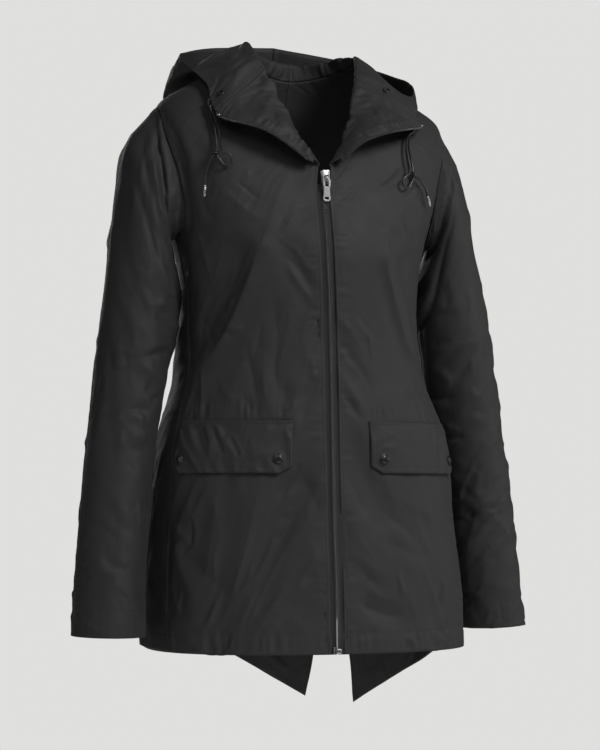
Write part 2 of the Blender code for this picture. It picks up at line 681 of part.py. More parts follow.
def small_ring(name, radius, wire, centre, axis, finish):
    """Round wire ring about an axis, such as a knot or an eyelet."""
    points, faces = [], []
    for k in range(RING_STEPS):
        turn = 2 * math.pi * k / RING_STEPS
        for j in range(WIRE_STEPS):
            bend = 2 * math.pi * j / WIRE_STEPS
            reach = radius + wire * math.cos(bend)
            points.append((reach * math.cos(turn), reach * math.sin(turn), wire * math.sin(bend)))
            after = (k + 1) % RING_STEPS * WIRE_STEPS
            here = k * WIRE_STEPS
            beside = (j + 1) % WIRE_STEPS
            faces.append((here + j, after + j, after + beside, here + beside))
    mesh = bpy.data.meshes.new(name)
    mesh.from_pydata(points, [], faces)
    mesh.shade_smooth()
    made = add_object(name, mesh, finish)
    made.location = centre
    made.rotation_euler = Vector(axis).to_track_quat("Z", "Y").to_euler()
    return made


def flap_grid(side):
    points, normals = [], []
    for row in range(FLAP_ROWS + 1):
        for k in range(FLAP_COLUMNS + 1):
            angle = mix(*FLAP_ANGLES, k / FLAP_COLUMNS)
            bottom = FLAP_BOTTOM + (FLAP_CHAMFER if k in (0, FLAP_COLUMNS) else 0.0)
            level = mix(bottom, FLAP_TOP, row / FLAP_ROWS)
            normal = torso_normal(side, angle, level)
            clear = mix(FLAP_CLEAR[1], FLAP_CLEAR[0], row / FLAP_ROWS)
            points.append(torso_point(side, angle, level) + normal * (clear + FLAP_WALL))
            normals.append(normal)
    return points, normals


def flap_clear(level):
    return mix(FLAP_CLEAR[1], FLAP_CLEAR[0], (level - FLAP_BOTTOM) / (FLAP_TOP - FLAP_BOTTOM))


def build_pockets():
    finish = material("snap_enamel", SNAP_COLOR, 0.35, 0.6)
    for side, word in SIDE_NAMES.items():
        cloth = material("flap_cloth_" + word, CLOTH_COLOR, 0.62)
        cloth_wall("pocket_flap_" + word, flap_grid(side), FLAP_COLUMNS, cloth, FLAP_WALL)
        for angle, place in zip(SNAP_ANGLES, ("inner", "outer")):
            normal = torso_normal(side, angle, SNAP_LEVEL)
            out = flap_clear(SNAP_LEVEL) + FLAP_WALL + SEAM
            snap = dome("snap_" + place + "_" + word, SNAP_RADIUS, SNAP_HEIGHT, finish)
            snap.location = torso_point(side, angle, SNAP_LEVEL) + normal * out
            snap.rotation_euler = Vector(normal).to_track_quat("Z", "Y").to_euler()


def dome(name, radius, height, finish):
    """Turned cap with a rounded top, standing on its own origin."""
    mesh = bpy.data.meshes.new(name)
    profile = [(radius * x, 0.0, height * z) for x, z in DOME_PROFILE]
    mesh.from_pydata(profile, [(k, k + 1) for k in range(len(profile) - 1)], [])
    made = add_object(name, mesh, finish)
    turn = made.modifiers.new("turn", "SCREW")
    turn.steps = DOME_STEPS
    turn.render_steps = DOME_STEPS
    turn.use_merge_vertices = True
    turn.merge_threshold = 0.00002
    return made


def front_level(height):
    """Level of the torso whose centre-front point is at this height."""
    low, high = HEM, NECK
    for _ in range(40):
        middle = (low + high) / 2
        if torso_point(RIGHT, 1.0, middle)[2] < height:
            low = middle
        else:
            high = middle
    return middle


def zip_levels(bottom, top):
    first = front_level(bottom)
    last = front_level(top)
    inside = [level for level in panel_levels() if first + 0.004 < level < last - 0.004]
    return [first] + inside + [last]


def strip_grid(levels, places):
    """Points of a narrow strip on the torso, a place being a side and a reach from the centre front."""
    points, normals = [], []
    for level in levels:
        for side, reach in places:
            angle = angle_beside_front(side, level, reach)
            points.append(torso_point(side, angle, level))
            normals.append(torso_normal(side, angle, level))
    return points, normals


def tape_grid(side, levels):
    """Points of a zip tape, from the centre front to a place under the first column of its front panel."""
    points, normals = [], []
    for level in levels:
        first = angle_beside_front(side, level, ZIP_HALF_GAP)
        last = seam_angle(side, outer_angle(level, -ARMHOLE_FRONT), level, -SEAM / 2)
        angles = (angle_beside_front(side, level, TAPE_REACH), first, mix(first, last, 1 / FRONT_COLUMNS))
        skin = [torso_point(side, angle, level) for angle in angles]
        out = [torso_normal(side, angle, level) for angle in angles]
        points += [skin[0], skin[1], mix(skin[1], skin[2], TAPE_UNDER)]
        normals += [out[0], out[1], mix(out[1], out[2], TAPE_UNDER)]
    return points, normals


def build_zip():
    tape = material("zip_tape", TAPE_COLOR, 0.75)
    chain = material("zip_teeth", CHAIN_COLOR, 0.38, 0.9)
    steel = material("zip_steel", STEEL_COLOR, 0.30, 1.0)
    slider_low = SLIDER_TOP - SLIDER_SIZE[2]
    box_top = HEM + BOX_SIZE[2]
    for side, word in SIDE_NAMES.items():
        levels = zip_levels(HEM, slider_low - SEAM)
        cloth_wall("zip_tape_" + word, tape_grid(side, levels), 2, tape, TAPE_WALL, -WALL - TAPE_CLEAR)
        edge = []
        for angle in neck_angles(side)[1:LAPEL_ROWS]:
            free = collar_point(side, angle, 1.0)
            away = free - collar_point(side, angle, 1.0 - COLLAR_STEP)
            edge.append(free + away / np.linalg.norm(away) * (EDGE_WIRE + EDGE_CLEAR))
        tube("zip_edge_" + word, edge, EDGE_WIRE, chain, EDGE_STEP)
    levels = zip_levels(box_top + SEAM, slider_low - SEAM)
    strip = strip_grid(levels, [(RIGHT, CHAIN_HALF), (LEFT, CHAIN_HALF)])
    cloth_wall("zip_chain", strip, 1, chain, CHAIN_WALL, CHAIN_WALL - WALL)

    middle = torso_point(RIGHT, 1.0, front_level(SLIDER_TOP - SLIDER_SIZE[2] / 2))
    middle[0] = ring_at(front_level(SLIDER_TOP)).middle
    slider = (middle[0], middle[1] - SLIDER_FORWARD, SLIDER_TOP - SLIDER_SIZE[2] / 2)
    bevelled_block("zip_slider", SLIDER_SIZE, slider, SLIDER_EDGE, steel)
    face = slider[1] - SLIDER_SIZE[1] / 2 - SEAM
    half = BRIDGE_HEIGHT / 2
    bridge = []
    for k in range(BRIDGE_POINTS):
        turn = math.pi * k / (BRIDGE_POINTS - 1)
        out = BRIDGE_REACH * abs(math.sin(turn)) ** BRIDGE_SQUARENESS
        bridge.append((slider[0], face - out, HINGE_HEIGHT + BRIDGE_LIFT + half * math.cos(turn)))
    tube("zip_bridge", bridge, BRIDGE_WIRE, steel, BRIDGE_STEP)
    hinge = (slider[0], face - HINGE_FORWARD, HINGE_HEIGHT)
    pull_tab(hinge, steel)
    foot = torso_point(RIGHT, 1.0, HEM)
    foot = (ring_at(HEM).middle, foot[1] + WALL - BOX_SIZE[1] / 2, HEM + BOX_SIZE[2] / 2)
    bevelled_block("zip_box", BOX_SIZE, foot, BOX_EDGE, chain)


def rounded(width, top, bottom, radius, corner_steps=4):
    """Corner-rounded upright rectangle about x = 0."""
    points = []
    high = top - radius
    low = bottom + radius
    for sign, y, start in ((1, high, 0), (-1, high, 90), (-1, low, 180), (1, low, 270)):
        for k in range(corner_steps + 1):
            turn = math.radians(start + 90 * k / corner_steps)
            x = sign * (width / 2 - radius) + radius * math.cos(turn)
            points.append((x, y + radius * math.sin(turn)))
    return points


def pull_tab(hinge, finish):
    """Flat tab with a window for the bridge and a slot near its end, hung on its own hinge line."""
    curve = bpy.data.curves.new("pull_tab", "CURVE")
    curve.dimensions = "2D"
    curve.fill_mode = "BOTH"
    curve.extrude = TAB_WALL / 2
    outlines = [
        rounded(TAB_WIDTH, TAB_ABOVE, -TAB_BELOW, TAB_CORNER),
        rounded(*TAB_WINDOW, HOLE_CORNER),
        rounded(*TAB_SLOT, HOLE_CORNER),
    ]
    for outline in outlines:
        spline = curve.splines.new("POLY")
        spline.use_cyclic_u = True
        spline.points.add(len(outline) - 1)
        for place, (x, y) in zip(spline.points, outline):
            place.co = (x, y, 0.0, 1.0)
    made = add_object("pull_tab", curve, finish)
    made.location = hinge
    made.rotation_euler = (math.radians(90), 0.0, 0.0)


def cord_start(side, angle):
    """End of a strand at the rim of the hood, and a second point that leads it straight out."""
    rim = collar_point(side, angle, 1.0) - collar_normal(side, angle, 1.0) * WALL / 2
    away = collar_point(side, angle, 1.0) - collar_point(side, angle, 1.0 - COLLAR_STEP)
    away = away / np.linalg.norm(away)
    return rim + away * CORD_GAP, rim + away * (CORD_GAP + CORD_LEAD)


def build_cords():
    cord = material("cord", CORD_COLOR, 0.7)
    steel = material("cord_steel", STEEL_COLOR, 0.30, 1.0)
    enamel = material("eyelet_enamel", SNAP_COLOR, 0.35, 0.6)
    for side, word in SIDE_NAMES.items():
        route = CORD_ROUTES[side]
        first, second = CORD_EXITS[side]
        tube("drawcord_" + word, (*cord_start(side, first), *route), CORD_RADIUS, cord)
        tube("drawcord_loop_" + word, (*cord_start(side, second), *LOOP_ROUTES[side]), CORD_RADIUS, cord)
        knot = KNOT_POINTS[side]
        along = np.array(route[knot + 1]) - np.array(route[knot - 1])
        small_ring("cord_knot_" + word, KNOT_RADIUS, KNOT_WIRE, route[knot], along, cord)
        end = np.array(route[-1])
        run = end - np.array(route[-2])
        run = run / np.linalg.norm(run)
        tip = (end + run * SEAM, end + run * (SEAM + TIP_LENGTH))
        tube("cord_tip_" + word, tip, TIP_RADIUS, steel, TIP_LENGTH)
        angle, across = EYELETS[side]
        normal = collar_normal(side, angle, across)
        centre = collar_point(side, angle, across) - normal * (WALL + EYELET_WIRE + SEAM)
        small_ring("eyelet_" + word, EYELET_RADIUS, EYELET_WIRE, centre, normal, enamel)


clear_scene()
jacket = bpy.data.collections.new("hooded_jacket")
bpy.context.scene.collection.children.link(jacket)
build_cloth()
build_pockets()
build_zip()
build_cords()
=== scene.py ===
import math
from functools import partial

import bpy
import numpy as np
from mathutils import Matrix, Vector


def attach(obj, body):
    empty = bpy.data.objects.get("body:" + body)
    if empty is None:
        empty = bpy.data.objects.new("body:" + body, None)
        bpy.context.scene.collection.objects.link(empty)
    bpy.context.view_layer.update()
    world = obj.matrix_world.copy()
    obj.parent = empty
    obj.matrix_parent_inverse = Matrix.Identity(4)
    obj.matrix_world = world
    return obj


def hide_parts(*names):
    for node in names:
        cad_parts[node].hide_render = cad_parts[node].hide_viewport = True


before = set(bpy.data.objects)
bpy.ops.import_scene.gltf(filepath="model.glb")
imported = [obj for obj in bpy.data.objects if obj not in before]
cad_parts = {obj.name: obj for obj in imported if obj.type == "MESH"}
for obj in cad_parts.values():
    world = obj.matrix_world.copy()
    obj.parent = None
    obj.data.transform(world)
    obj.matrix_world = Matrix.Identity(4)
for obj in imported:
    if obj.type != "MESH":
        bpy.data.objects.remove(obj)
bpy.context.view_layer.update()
scene = bpy.context.scene
right, left = -1, 1  # the wearer's sides, as the sign of x
sideNames = {right: "right", left: "left"}
print("frame loaded,", len(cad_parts), "nodes")

view = {"turn": -15.0, "distance": 2.4, "height": -0.529, "aim": (0.0, 0.0, -0.373), "lens": 92.16}


def addCamera():
    data = bpy.data.cameras.new("camera")
    data.sensor_fit = "VERTICAL"
    data.sensor_height = 36.0
    data.lens = view["lens"]
    camera = bpy.data.objects.new("camera", data)
    turn = math.radians(view["turn"])
    camera.location = (math.sin(turn) * view["distance"], -math.cos(turn) * view["distance"], view["height"])
    camera.rotation_euler = (Vector(view["aim"]) - camera.location).to_track_quat("-Z", "Y").to_euler()
    scene.collection.objects.link(camera)
    scene.camera = camera


addCamera()
print("camera placed")


# meshes from rows of points
def unit(vectors):
    return vectors / np.maximum(np.linalg.norm(vectors, axis=-1, keepdims=True), 1e-12)


def mix(a, b, t):
    return a + (b - a) * t


def smooth(t):
    t = np.clip(t, 0.0, 1.0)
    return t * t * (3 - 2 * t)


def near(distance, reach):
    return np.exp(-(distance / reach) ** 2)


def together(a, b):
    return np.broadcast_arrays(np.asarray(a, float), np.asarray(b, float))


def circle(sides):
    return np.arange(sides) * 2 * math.pi / sides


def blend(places, at):  # share of each row in a smooth curve through the rows
    places, at = np.asarray(places, float), np.asarray(at, float)
    count = len(places)
    k = np.arange(count)
    low, high = np.maximum(k - 1, 0), np.minimum(k + 1, count - 1)
    rows = np.eye(count)
    slope = (rows[high] - rows[low]) / (places[high] - places[low])[:, None]
    i = np.clip(np.searchsorted(places, at, "right") - 1, 0, count - 2)
    span = places[i + 1] - places[i]
    t = (at - places[i]) / span
    start, end = 1 - 3 * t ** 2 + 2 * t ** 3, 3 * t ** 2 - 2 * t ** 3
    leave, arrive = (t - 2 * t ** 2 + t ** 3) * span, (t ** 3 - t ** 2) * span
    ends = start[..., None] * rows[i] + end[..., None] * rows[i + 1]
    return ends + (leave[..., None] * slope[i] + arrive[..., None] * slope[i + 1])


def arcs(points, axis=0):  # distance along a path, or along a grid's rows or columns
    step = np.linalg.norm(np.diff(points, axis=axis), axis=-1)
    start = np.zeros_like(np.take(step, [0], axis=axis))
    return np.concatenate([start, np.cumsum(step, axis=axis)], axis=axis)


def smoothPath(points, step):
    points = np.asarray(points, float)
    lengths = arcs(points)
    count = max(int(round(lengths[-1] / step)), 2)
    return blend(lengths, np.linspace(0, lengths[-1], count + 1)) @ points


def pickAlong(at, lengths, rows):  # vectors read at given lengths along a path
    return np.stack([np.interp(at, lengths, rows[:, k]) for k in range(3)], axis=-1)


def crossDirections(path):  # two directions across a path, carried along without twist
    tangent = unit(np.gradient(path, axis=0))
    across = np.zeros_like(path)
    across[0] = unit(np.cross(tangent[0], (0.31, 0.2, 0.93)))
    for k in range(1, len(path)):
        across[k] = unit(across[k - 1] - tangent[k] * np.dot(across[k - 1], tangent[k]))
    return across, np.cross(tangent, across)


def gridFaces(rows, columns, wrapColumns=False, flip=False):
    k = np.arange(rows * columns).reshape(rows, columns)
    if wrapColumns:
        k = np.concatenate([k, k[:, :1]], axis=1)
    quads = np.stack([k[:-1, :-1], k[:-1, 1:], k[1:, 1:], k[1:, :-1]], axis=-1).reshape(-1, 4)
    return quads[:, ::-1] if flip else quads


def addPiece(name, points, faces, finish, slot, uv=None, nodes=()):
    mesh = bpy.data.meshes.new(name)
    points = np.asarray(points, float).reshape(-1, 3)
    mesh.from_pydata(points.tolist(), [], [tuple(int(k) for k in face) for face in faces])
    if uv is not None:
        layer = mesh.uv_layers.new(name="cut")
        corners = np.empty(len(mesh.loops), np.int64)
        mesh.loops.foreach_get("vertex_index", corners)
        layer.data.foreach_set("uv", np.asarray(uv, np.float32).reshape(-1, 2)[corners].ravel())
    mesh.shade_smooth()
    mesh.materials.append(finish)
    piece = bpy.data.objects.new(name, mesh)
    scene.collection.objects.link(piece)
    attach(piece, "jacket")
    if nodes:
        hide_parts(*nodes)
    return piece


class Heap:  # several small shapes gathered into one mesh
    def __init__(self):
        self.points, self.faces, self.count = [], [], 0

    def add(self, points, faces):
        points = np.asarray(points, float).reshape(-1, 3)
        self.points.append(points)
        self.faces += [tuple(int(k) + self.count for k in face) for face in faces]
        self.count += len(points)

    def piece(self, name, finish, **options):
        return addPiece(name, np.concatenate(self.points), self.faces, finish, **options)


def cappedFaces(rows, sides):  # a closed skin round rows of rings
    faces = [tuple(face) for face in gridFaces(rows, sides, wrapColumns=True)]
    last = (rows - 1) * sides
    return faces + [tuple(range(sides - 1, -1, -1)), tuple(range(last, last + sides))]


def tubePoints(path, radius, sides):
    across, over = crossDirections(path)
    bend = circle(sides)
    reach = np.broadcast_to(radius, (len(path), sides))
    ring = across[:, None] * np.cos(bend)[None, :, None] + over[:, None] * np.sin(bend)[None, :, None]
    return (path[:, None] + ring * reach[..., None]).reshape(-1, 3), cappedFaces(len(path), sides)


def turned(profile, centre, axis, sides):  # a lathe shape: rows of (radius, height) about an axis
    axis = unit(np.asarray(axis, float))
    across = unit(np.cross(axis, (0.17, 0.35, 0.92)))
    bend = circle(sides)
    ring = np.cos(bend)[:, None] * across + np.sin(bend)[:, None] * np.cross(axis, across)
    points = [centre + height * axis + radius * ring for radius, height in profile]
    return np.concatenate(points), cappedFaces(len(profile), sides)


# materials
def paint(name):
    made = bpy.data.materials.new(name)
    made.use_nodes = True
    return made, made.node_tree, made.node_tree.nodes["Principled BSDF"]


def nodeGroup(name, inputs):  # each group gives a colour, a roughness and a height
    group = bpy.data.node_groups.new(name, "ShaderNodeTree")
    for socket, value in inputs.items():
        kind = "NodeSocketFloat" if isinstance(value, float) else "NodeSocketColor"
        group.interface.new_socket(name=socket, in_out="INPUT", socket_type=kind).default_value = value
    for socket, kind in (("Color", "NodeSocketColor"), ("Roughness", "NodeSocketFloat"), ("Height", "NodeSocketFloat")):
        group.interface.new_socket(name=socket, in_out="OUTPUT", socket_type=kind)
    return group, group.nodes.new("NodeGroupInput").outputs, group.nodes.new("NodeGroupOutput").inputs


def mathNode(tree, operation, *values):
    node = tree.nodes.new("ShaderNodeMath")
    node.operation = operation
    for socket, value in zip(node.inputs, values):
        if isinstance(value, (int, float)):
            socket.default_value = value
        else:
            tree.links.new(value, socket)
    return node.outputs[0]


def noiseNode(tree, scale, detail, distortion=0.0):
    place = tree.nodes.new("ShaderNodeTexCoord")
    node = tree.nodes.new("ShaderNodeTexNoise")
    for socket, value in (("Scale", scale), ("Detail", detail), ("Distortion", distortion)):
        node.inputs[socket].default_value = value
    tree.links.new(place.outputs["Object"], node.inputs["Vector"])
    return node.outputs["Fac"]


def mixColors(tree, share, a, b):
    node = tree.nodes.new("ShaderNodeMix")
    node.data_type = "RGBA"
    for socket, value in (("Factor", share), ("A", a), ("B", b)):
        tree.links.new(value, node.inputs[socket])
    return node.outputs["Result"]


def weaveGroup():  # twill on the cut's own UV, soft uneven tone, and fine broken ridges
    group, take, give = nodeGroup("weave", {
        "Dark": (0.02, 0.02, 0.021, 1), "Light": (0.034, 0.034, 0.035, 1),
        "Threads per metre": 1500.0, "Roughness": 0.6,
    })
    times, plus, minus, sine, size = (
        partial(mathNode, group, word) for word in ("MULTIPLY", "ADD", "SUBTRACT", "SINE", "ABSOLUTE"))
    link = group.links.new
    cut = group.nodes.new("ShaderNodeUVMap")
    cut.uv_map = "cut"
    split = group.nodes.new("ShaderNodeSeparateXYZ")
    link(cut.outputs[0], split.inputs[0])
    u, v = split.outputs[0], split.outputs[1]
    turn = times(take["Threads per metre"], 2 * math.pi)
    check = times(sine(times(u, turn)), sine(times(v, turn)))
    twill = sine(times(plus(u, v), times(turn, 0.5)))
    thread = plus(times(check, 0.3), times(twill, 0.4))
    cloud = noiseNode(group, 26.0, 4.0)
    grain = noiseNode(group, 900.0, 2.0)
    ridge = times(size(minus(noiseNode(group, 48.0, 2.0, 0.6), 0.5)), -44.0)
    tone = plus(plus(times(cloud, 0.75), times(thread, 0.18)), times(grain, 0.2))
    link(mixColors(group, tone, take["Dark"], take["Light"]), give["Color"])
    link(plus(take["Roughness"], times(minus(cloud, 0.5), 0.25)), give["Roughness"])
    link(plus(plus(thread, times(grain, 0.8)), times(ridge, cloud)), give["Height"])
    return group


def wearGroup():  # light scratches and handling marks on metal
    group, take, give = nodeGroup("wear", {"Base": (0.5, 0.5, 0.5, 1), "Worn": (0.7, 0.7, 0.7, 1), "Roughness": 0.3})
    marks = noiseNode(group, 420.0, 5.0)
    uneven = mathNode(group, "MULTIPLY", mathNode(group, "SUBTRACT", marks, 0.5), 0.3)
    group.links.new(mixColors(group, marks, take["Base"], take["Worn"]), give["Color"])
    group.links.new(mathNode(group, "ADD", take["Roughness"], uneven), give["Roughness"])
    group.links.new(marks, give["Height"])
    return group


weave = weaveGroup()
wear = wearGroup()


def groupPaint(name, group, values, bump, distance):
    made, tree, shader = paint(name)
    source = tree.nodes.new("ShaderNodeGroup")
    source.node_tree = group
    for socket, value in values.items():
        source.inputs[socket].default_value = value
    raised = tree.nodes.new("ShaderNodeBump")
    raised.inputs["Strength"].default_value = bump
    raised.inputs["Distance"].default_value = distance
    tree.links.new(source.outputs["Color"], shader.inputs["Base Color"])
    tree.links.new(source.outputs["Roughness"], shader.inputs["Roughness"])
    tree.links.new(source.outputs["Height"], raised.inputs["Height"])
    tree.links.new(raised.outputs[0], shader.inputs["Normal"])
    return made, shader


def clothPaint(name, dark, light, roughness, threads, bump, sheen):
    values = {"Dark": (*dark, 1), "Light": (*light, 1), "Threads per metre": threads, "Roughness": roughness}
    made, shader = groupPaint(name, weave, values, bump, 0.0002)
    shader.inputs["Specular IOR Level"].default_value = 0.3
    shader.inputs["Sheen Weight"].default_value = sheen
    shader.inputs["Sheen Roughness"].default_value = 0.45
    return made


def metalPaint(name, base, worn, roughness, metallic=1.0, bump=0.08):
    values = {"Base": (*base, 1), "Worn": (*worn, 1), "Roughness": roughness}
    made, shader = groupPaint(name, wear, values, bump, 0.0001)
    shader.inputs["Metallic"].default_value = metallic
    return made


shellPaint = clothPaint("shell_cloth", (0.016, 0.016, 0.0165), (0.027, 0.027, 0.0275), 0.66, 1400.0, 0.25, 0.03)
tapePaint = clothPaint("zip_tape", (0.012, 0.012, 0.013), (0.024, 0.024, 0.025), 0.75, 1000.0, 0.6, 0.05)
teethPaint = metalPaint("zip_teeth", (0.065, 0.065, 0.067), (0.14, 0.14, 0.143), 0.40)
steelPaint = metalPaint("steel", (0.34, 0.34, 0.35), (0.48, 0.48, 0.49), 0.34)
enamelPaint = metalPaint("snap_enamel", (0.016, 0.016, 0.017), (0.030, 0.030, 0.031), 0.30, 0.4)
cordPaint = metalPaint("cord", (0.010, 0.010, 0.011), (0.020, 0.020, 0.021), 0.34, 0.0, 0.2)
threadPaint = metalPaint("thread", (0.030, 0.030, 0.031), (0.052, 0.052, 0.053), 0.5, 0.0, 0.2)
print("materials made")


# drawcords: a strand with a knot and a metal end, and a second strand that turns back in a loop to the knot
drawcord = {
    "radius": 0.0014,
    "step": 0.0006,
    "sides": 14,
    "braid": 0.055,  # relief as a share of the radius
    "pitch": 0.0050,
    "strand": {
        right: [
            (-0.13159, -0.06568, -0.04411), (-0.13343, -0.06606, -0.04645), (-0.1325, -0.0725, -0.0600),
            (-0.1290, -0.0840, -0.0830), (-0.1290, -0.0930, -0.1050), (-0.1305, -0.0970, -0.1150),
            (-0.1375, -0.0955, -0.1250), (-0.1415, -0.0930, -0.1400), (-0.1420, -0.0920, -0.1545),
        ],
        left: [
            (0.13594, -0.05864, -0.05439), (0.13787, -0.05844, -0.05668), (0.1360, -0.0620, -0.0630),
            (0.1290, -0.0690, -0.0710), (0.1200, -0.0775, -0.0800), (0.1160, -0.0860, -0.0940),
            (0.1160, -0.0940, -0.1090), (0.1165, -0.0985, -0.1210), (0.1180, -0.1005, -0.1310),
            (0.1270, -0.0985, -0.1380), (0.1350, -0.0940, -0.1470), (0.1385, -0.0910, -0.1560),
        ],
    },
    "loop": {
        right: [
            (-0.13048, -0.07315, -0.05253), (-0.13245, -0.07342, -0.05477), (-0.1290, -0.0770, -0.0640),
            (-0.1248, -0.0860, -0.0850), (-0.1245, -0.0965, -0.1050), (-0.1225, -0.1020, -0.1150),
            (-0.1150, -0.1035, -0.1175), (-0.1118, -0.1030, -0.1235), (-0.1150, -0.1020, -0.1295),
            (-0.1215, -0.1010, -0.1290), (-0.1262, -0.1000, -0.1230), (-0.1288, -0.0985, -0.1180),
        ],
        left: [
            (0.13686, -0.06786, -0.05993), (0.13905, -0.0676, -0.06196), (0.1330, -0.0730, -0.0670),
            (0.1245, -0.0785, -0.0730), (0.1155, -0.0840, -0.0810), (0.1115, -0.0910, -0.0950),
            (0.1110, -0.0975, -0.1090), (0.1118, -0.1025, -0.1220), (0.1090, -0.1070, -0.1320),
            (0.1025, -0.1095, -0.1370), (0.1005, -0.1095, -0.1440), (0.1045, -0.1080, -0.1490),
            (0.1100, -0.1055, -0.1470), (0.1140, -0.1040, -0.1405), (0.1172, -0.1015, -0.1345),
        ],
    },
    "knotRow": {right: 5, left: 8},
    "knotRadius": 0.0029,
    "knotWire": 0.00135,
    "knotTurns": 2.6,
    "knotLength": 0.0075,
    "knotLean": 0.0007,
    "tipLength": 0.014,
    "tipSink": 0.0006,
    "tipProfile": [  # radius, share of the length
        (0.0013, 0.0), (0.00165, 0.02), (0.0017, 0.08), (0.00148, 0.12), (0.00148, 0.16), (0.0017, 0.20),
        (0.0017, 0.74), (0.00150, 0.78), (0.00150, 0.82), (0.0017, 0.86), (0.00165, 0.95), (0.0012, 0.99),
        (0.0004, 1.0),
    ],
}


def braidedTube(path, radius):
    along = arcs(path)[:, None] * 2 * math.pi / drawcord["pitch"]
    bend = circle(drawcord["sides"])[None]
    relief = np.sin(4 * bend + along) * np.sin(4 * bend - along)
    return tubePoints(path, radius * (1 - drawcord["braid"] + drawcord["braid"] * relief), drawcord["sides"])


def knotPath(strand, row):  # turns of the same cord laid round both strands
    axis = unit(strand[row + 1] - strand[row - 1])
    across = unit(np.cross(axis, (0.0, -1.0, 0.2)))
    over = np.cross(axis, across)
    turn = np.linspace(0, 2 * math.pi * drawcord["knotTurns"], 90)
    share = turn / turn[-1]
    ends = smooth(share / 0.12) * smooth((1 - share) / 0.12)
    reach = drawcord["knotRadius"] * (0.45 + 0.55 * ends) * (1 + 0.06 * np.sin(turn * 1.7))
    lean = drawcord["knotLean"] * np.sin(turn + 0.6)
    coil = strand[row] + axis * ((share - 0.5) * drawcord["knotLength"] + lean)[:, None]
    return coil + across * (np.cos(turn) * reach)[:, None] + over * (np.sin(turn) * reach)[:, None]


def cordPiece(name, path, radius, node):
    return addPiece(name, *braidedTube(path, radius), cordPaint, slot="cord", nodes=(node,))


def addCords():
    for side, word in sideNames.items():
        strand = np.array(drawcord["strand"][side])
        path, loopPath = (smoothPath(drawcord[name][side], drawcord["step"]) for name in ("strand", "loop"))
        made = cordPiece("cord_strand_" + word, path, drawcord["radius"], "drawcord_" + word)
        loop = cordPiece("cord_loop_" + word, loopPath, drawcord["radius"], "drawcord_loop_" + word)
        coil = knotPath(strand, drawcord["knotRow"][side])
        knot = cordPiece("cord_wrap_" + word, coil, drawcord["knotWire"], "cord_knot_" + word)
        tipLength, sink = drawcord["tipLength"], drawcord["tipSink"]
        profile = [(radius, share * tipLength - sink) for radius, share in drawcord["tipProfile"]]
        shape = turned(profile, strand[-1], strand[-1] - strand[-2], 20)
        tip = addPiece("cord_end_" + word, *shape, steelPaint, slot="steel", nodes=("cord_tip_" + word,))


addCords()


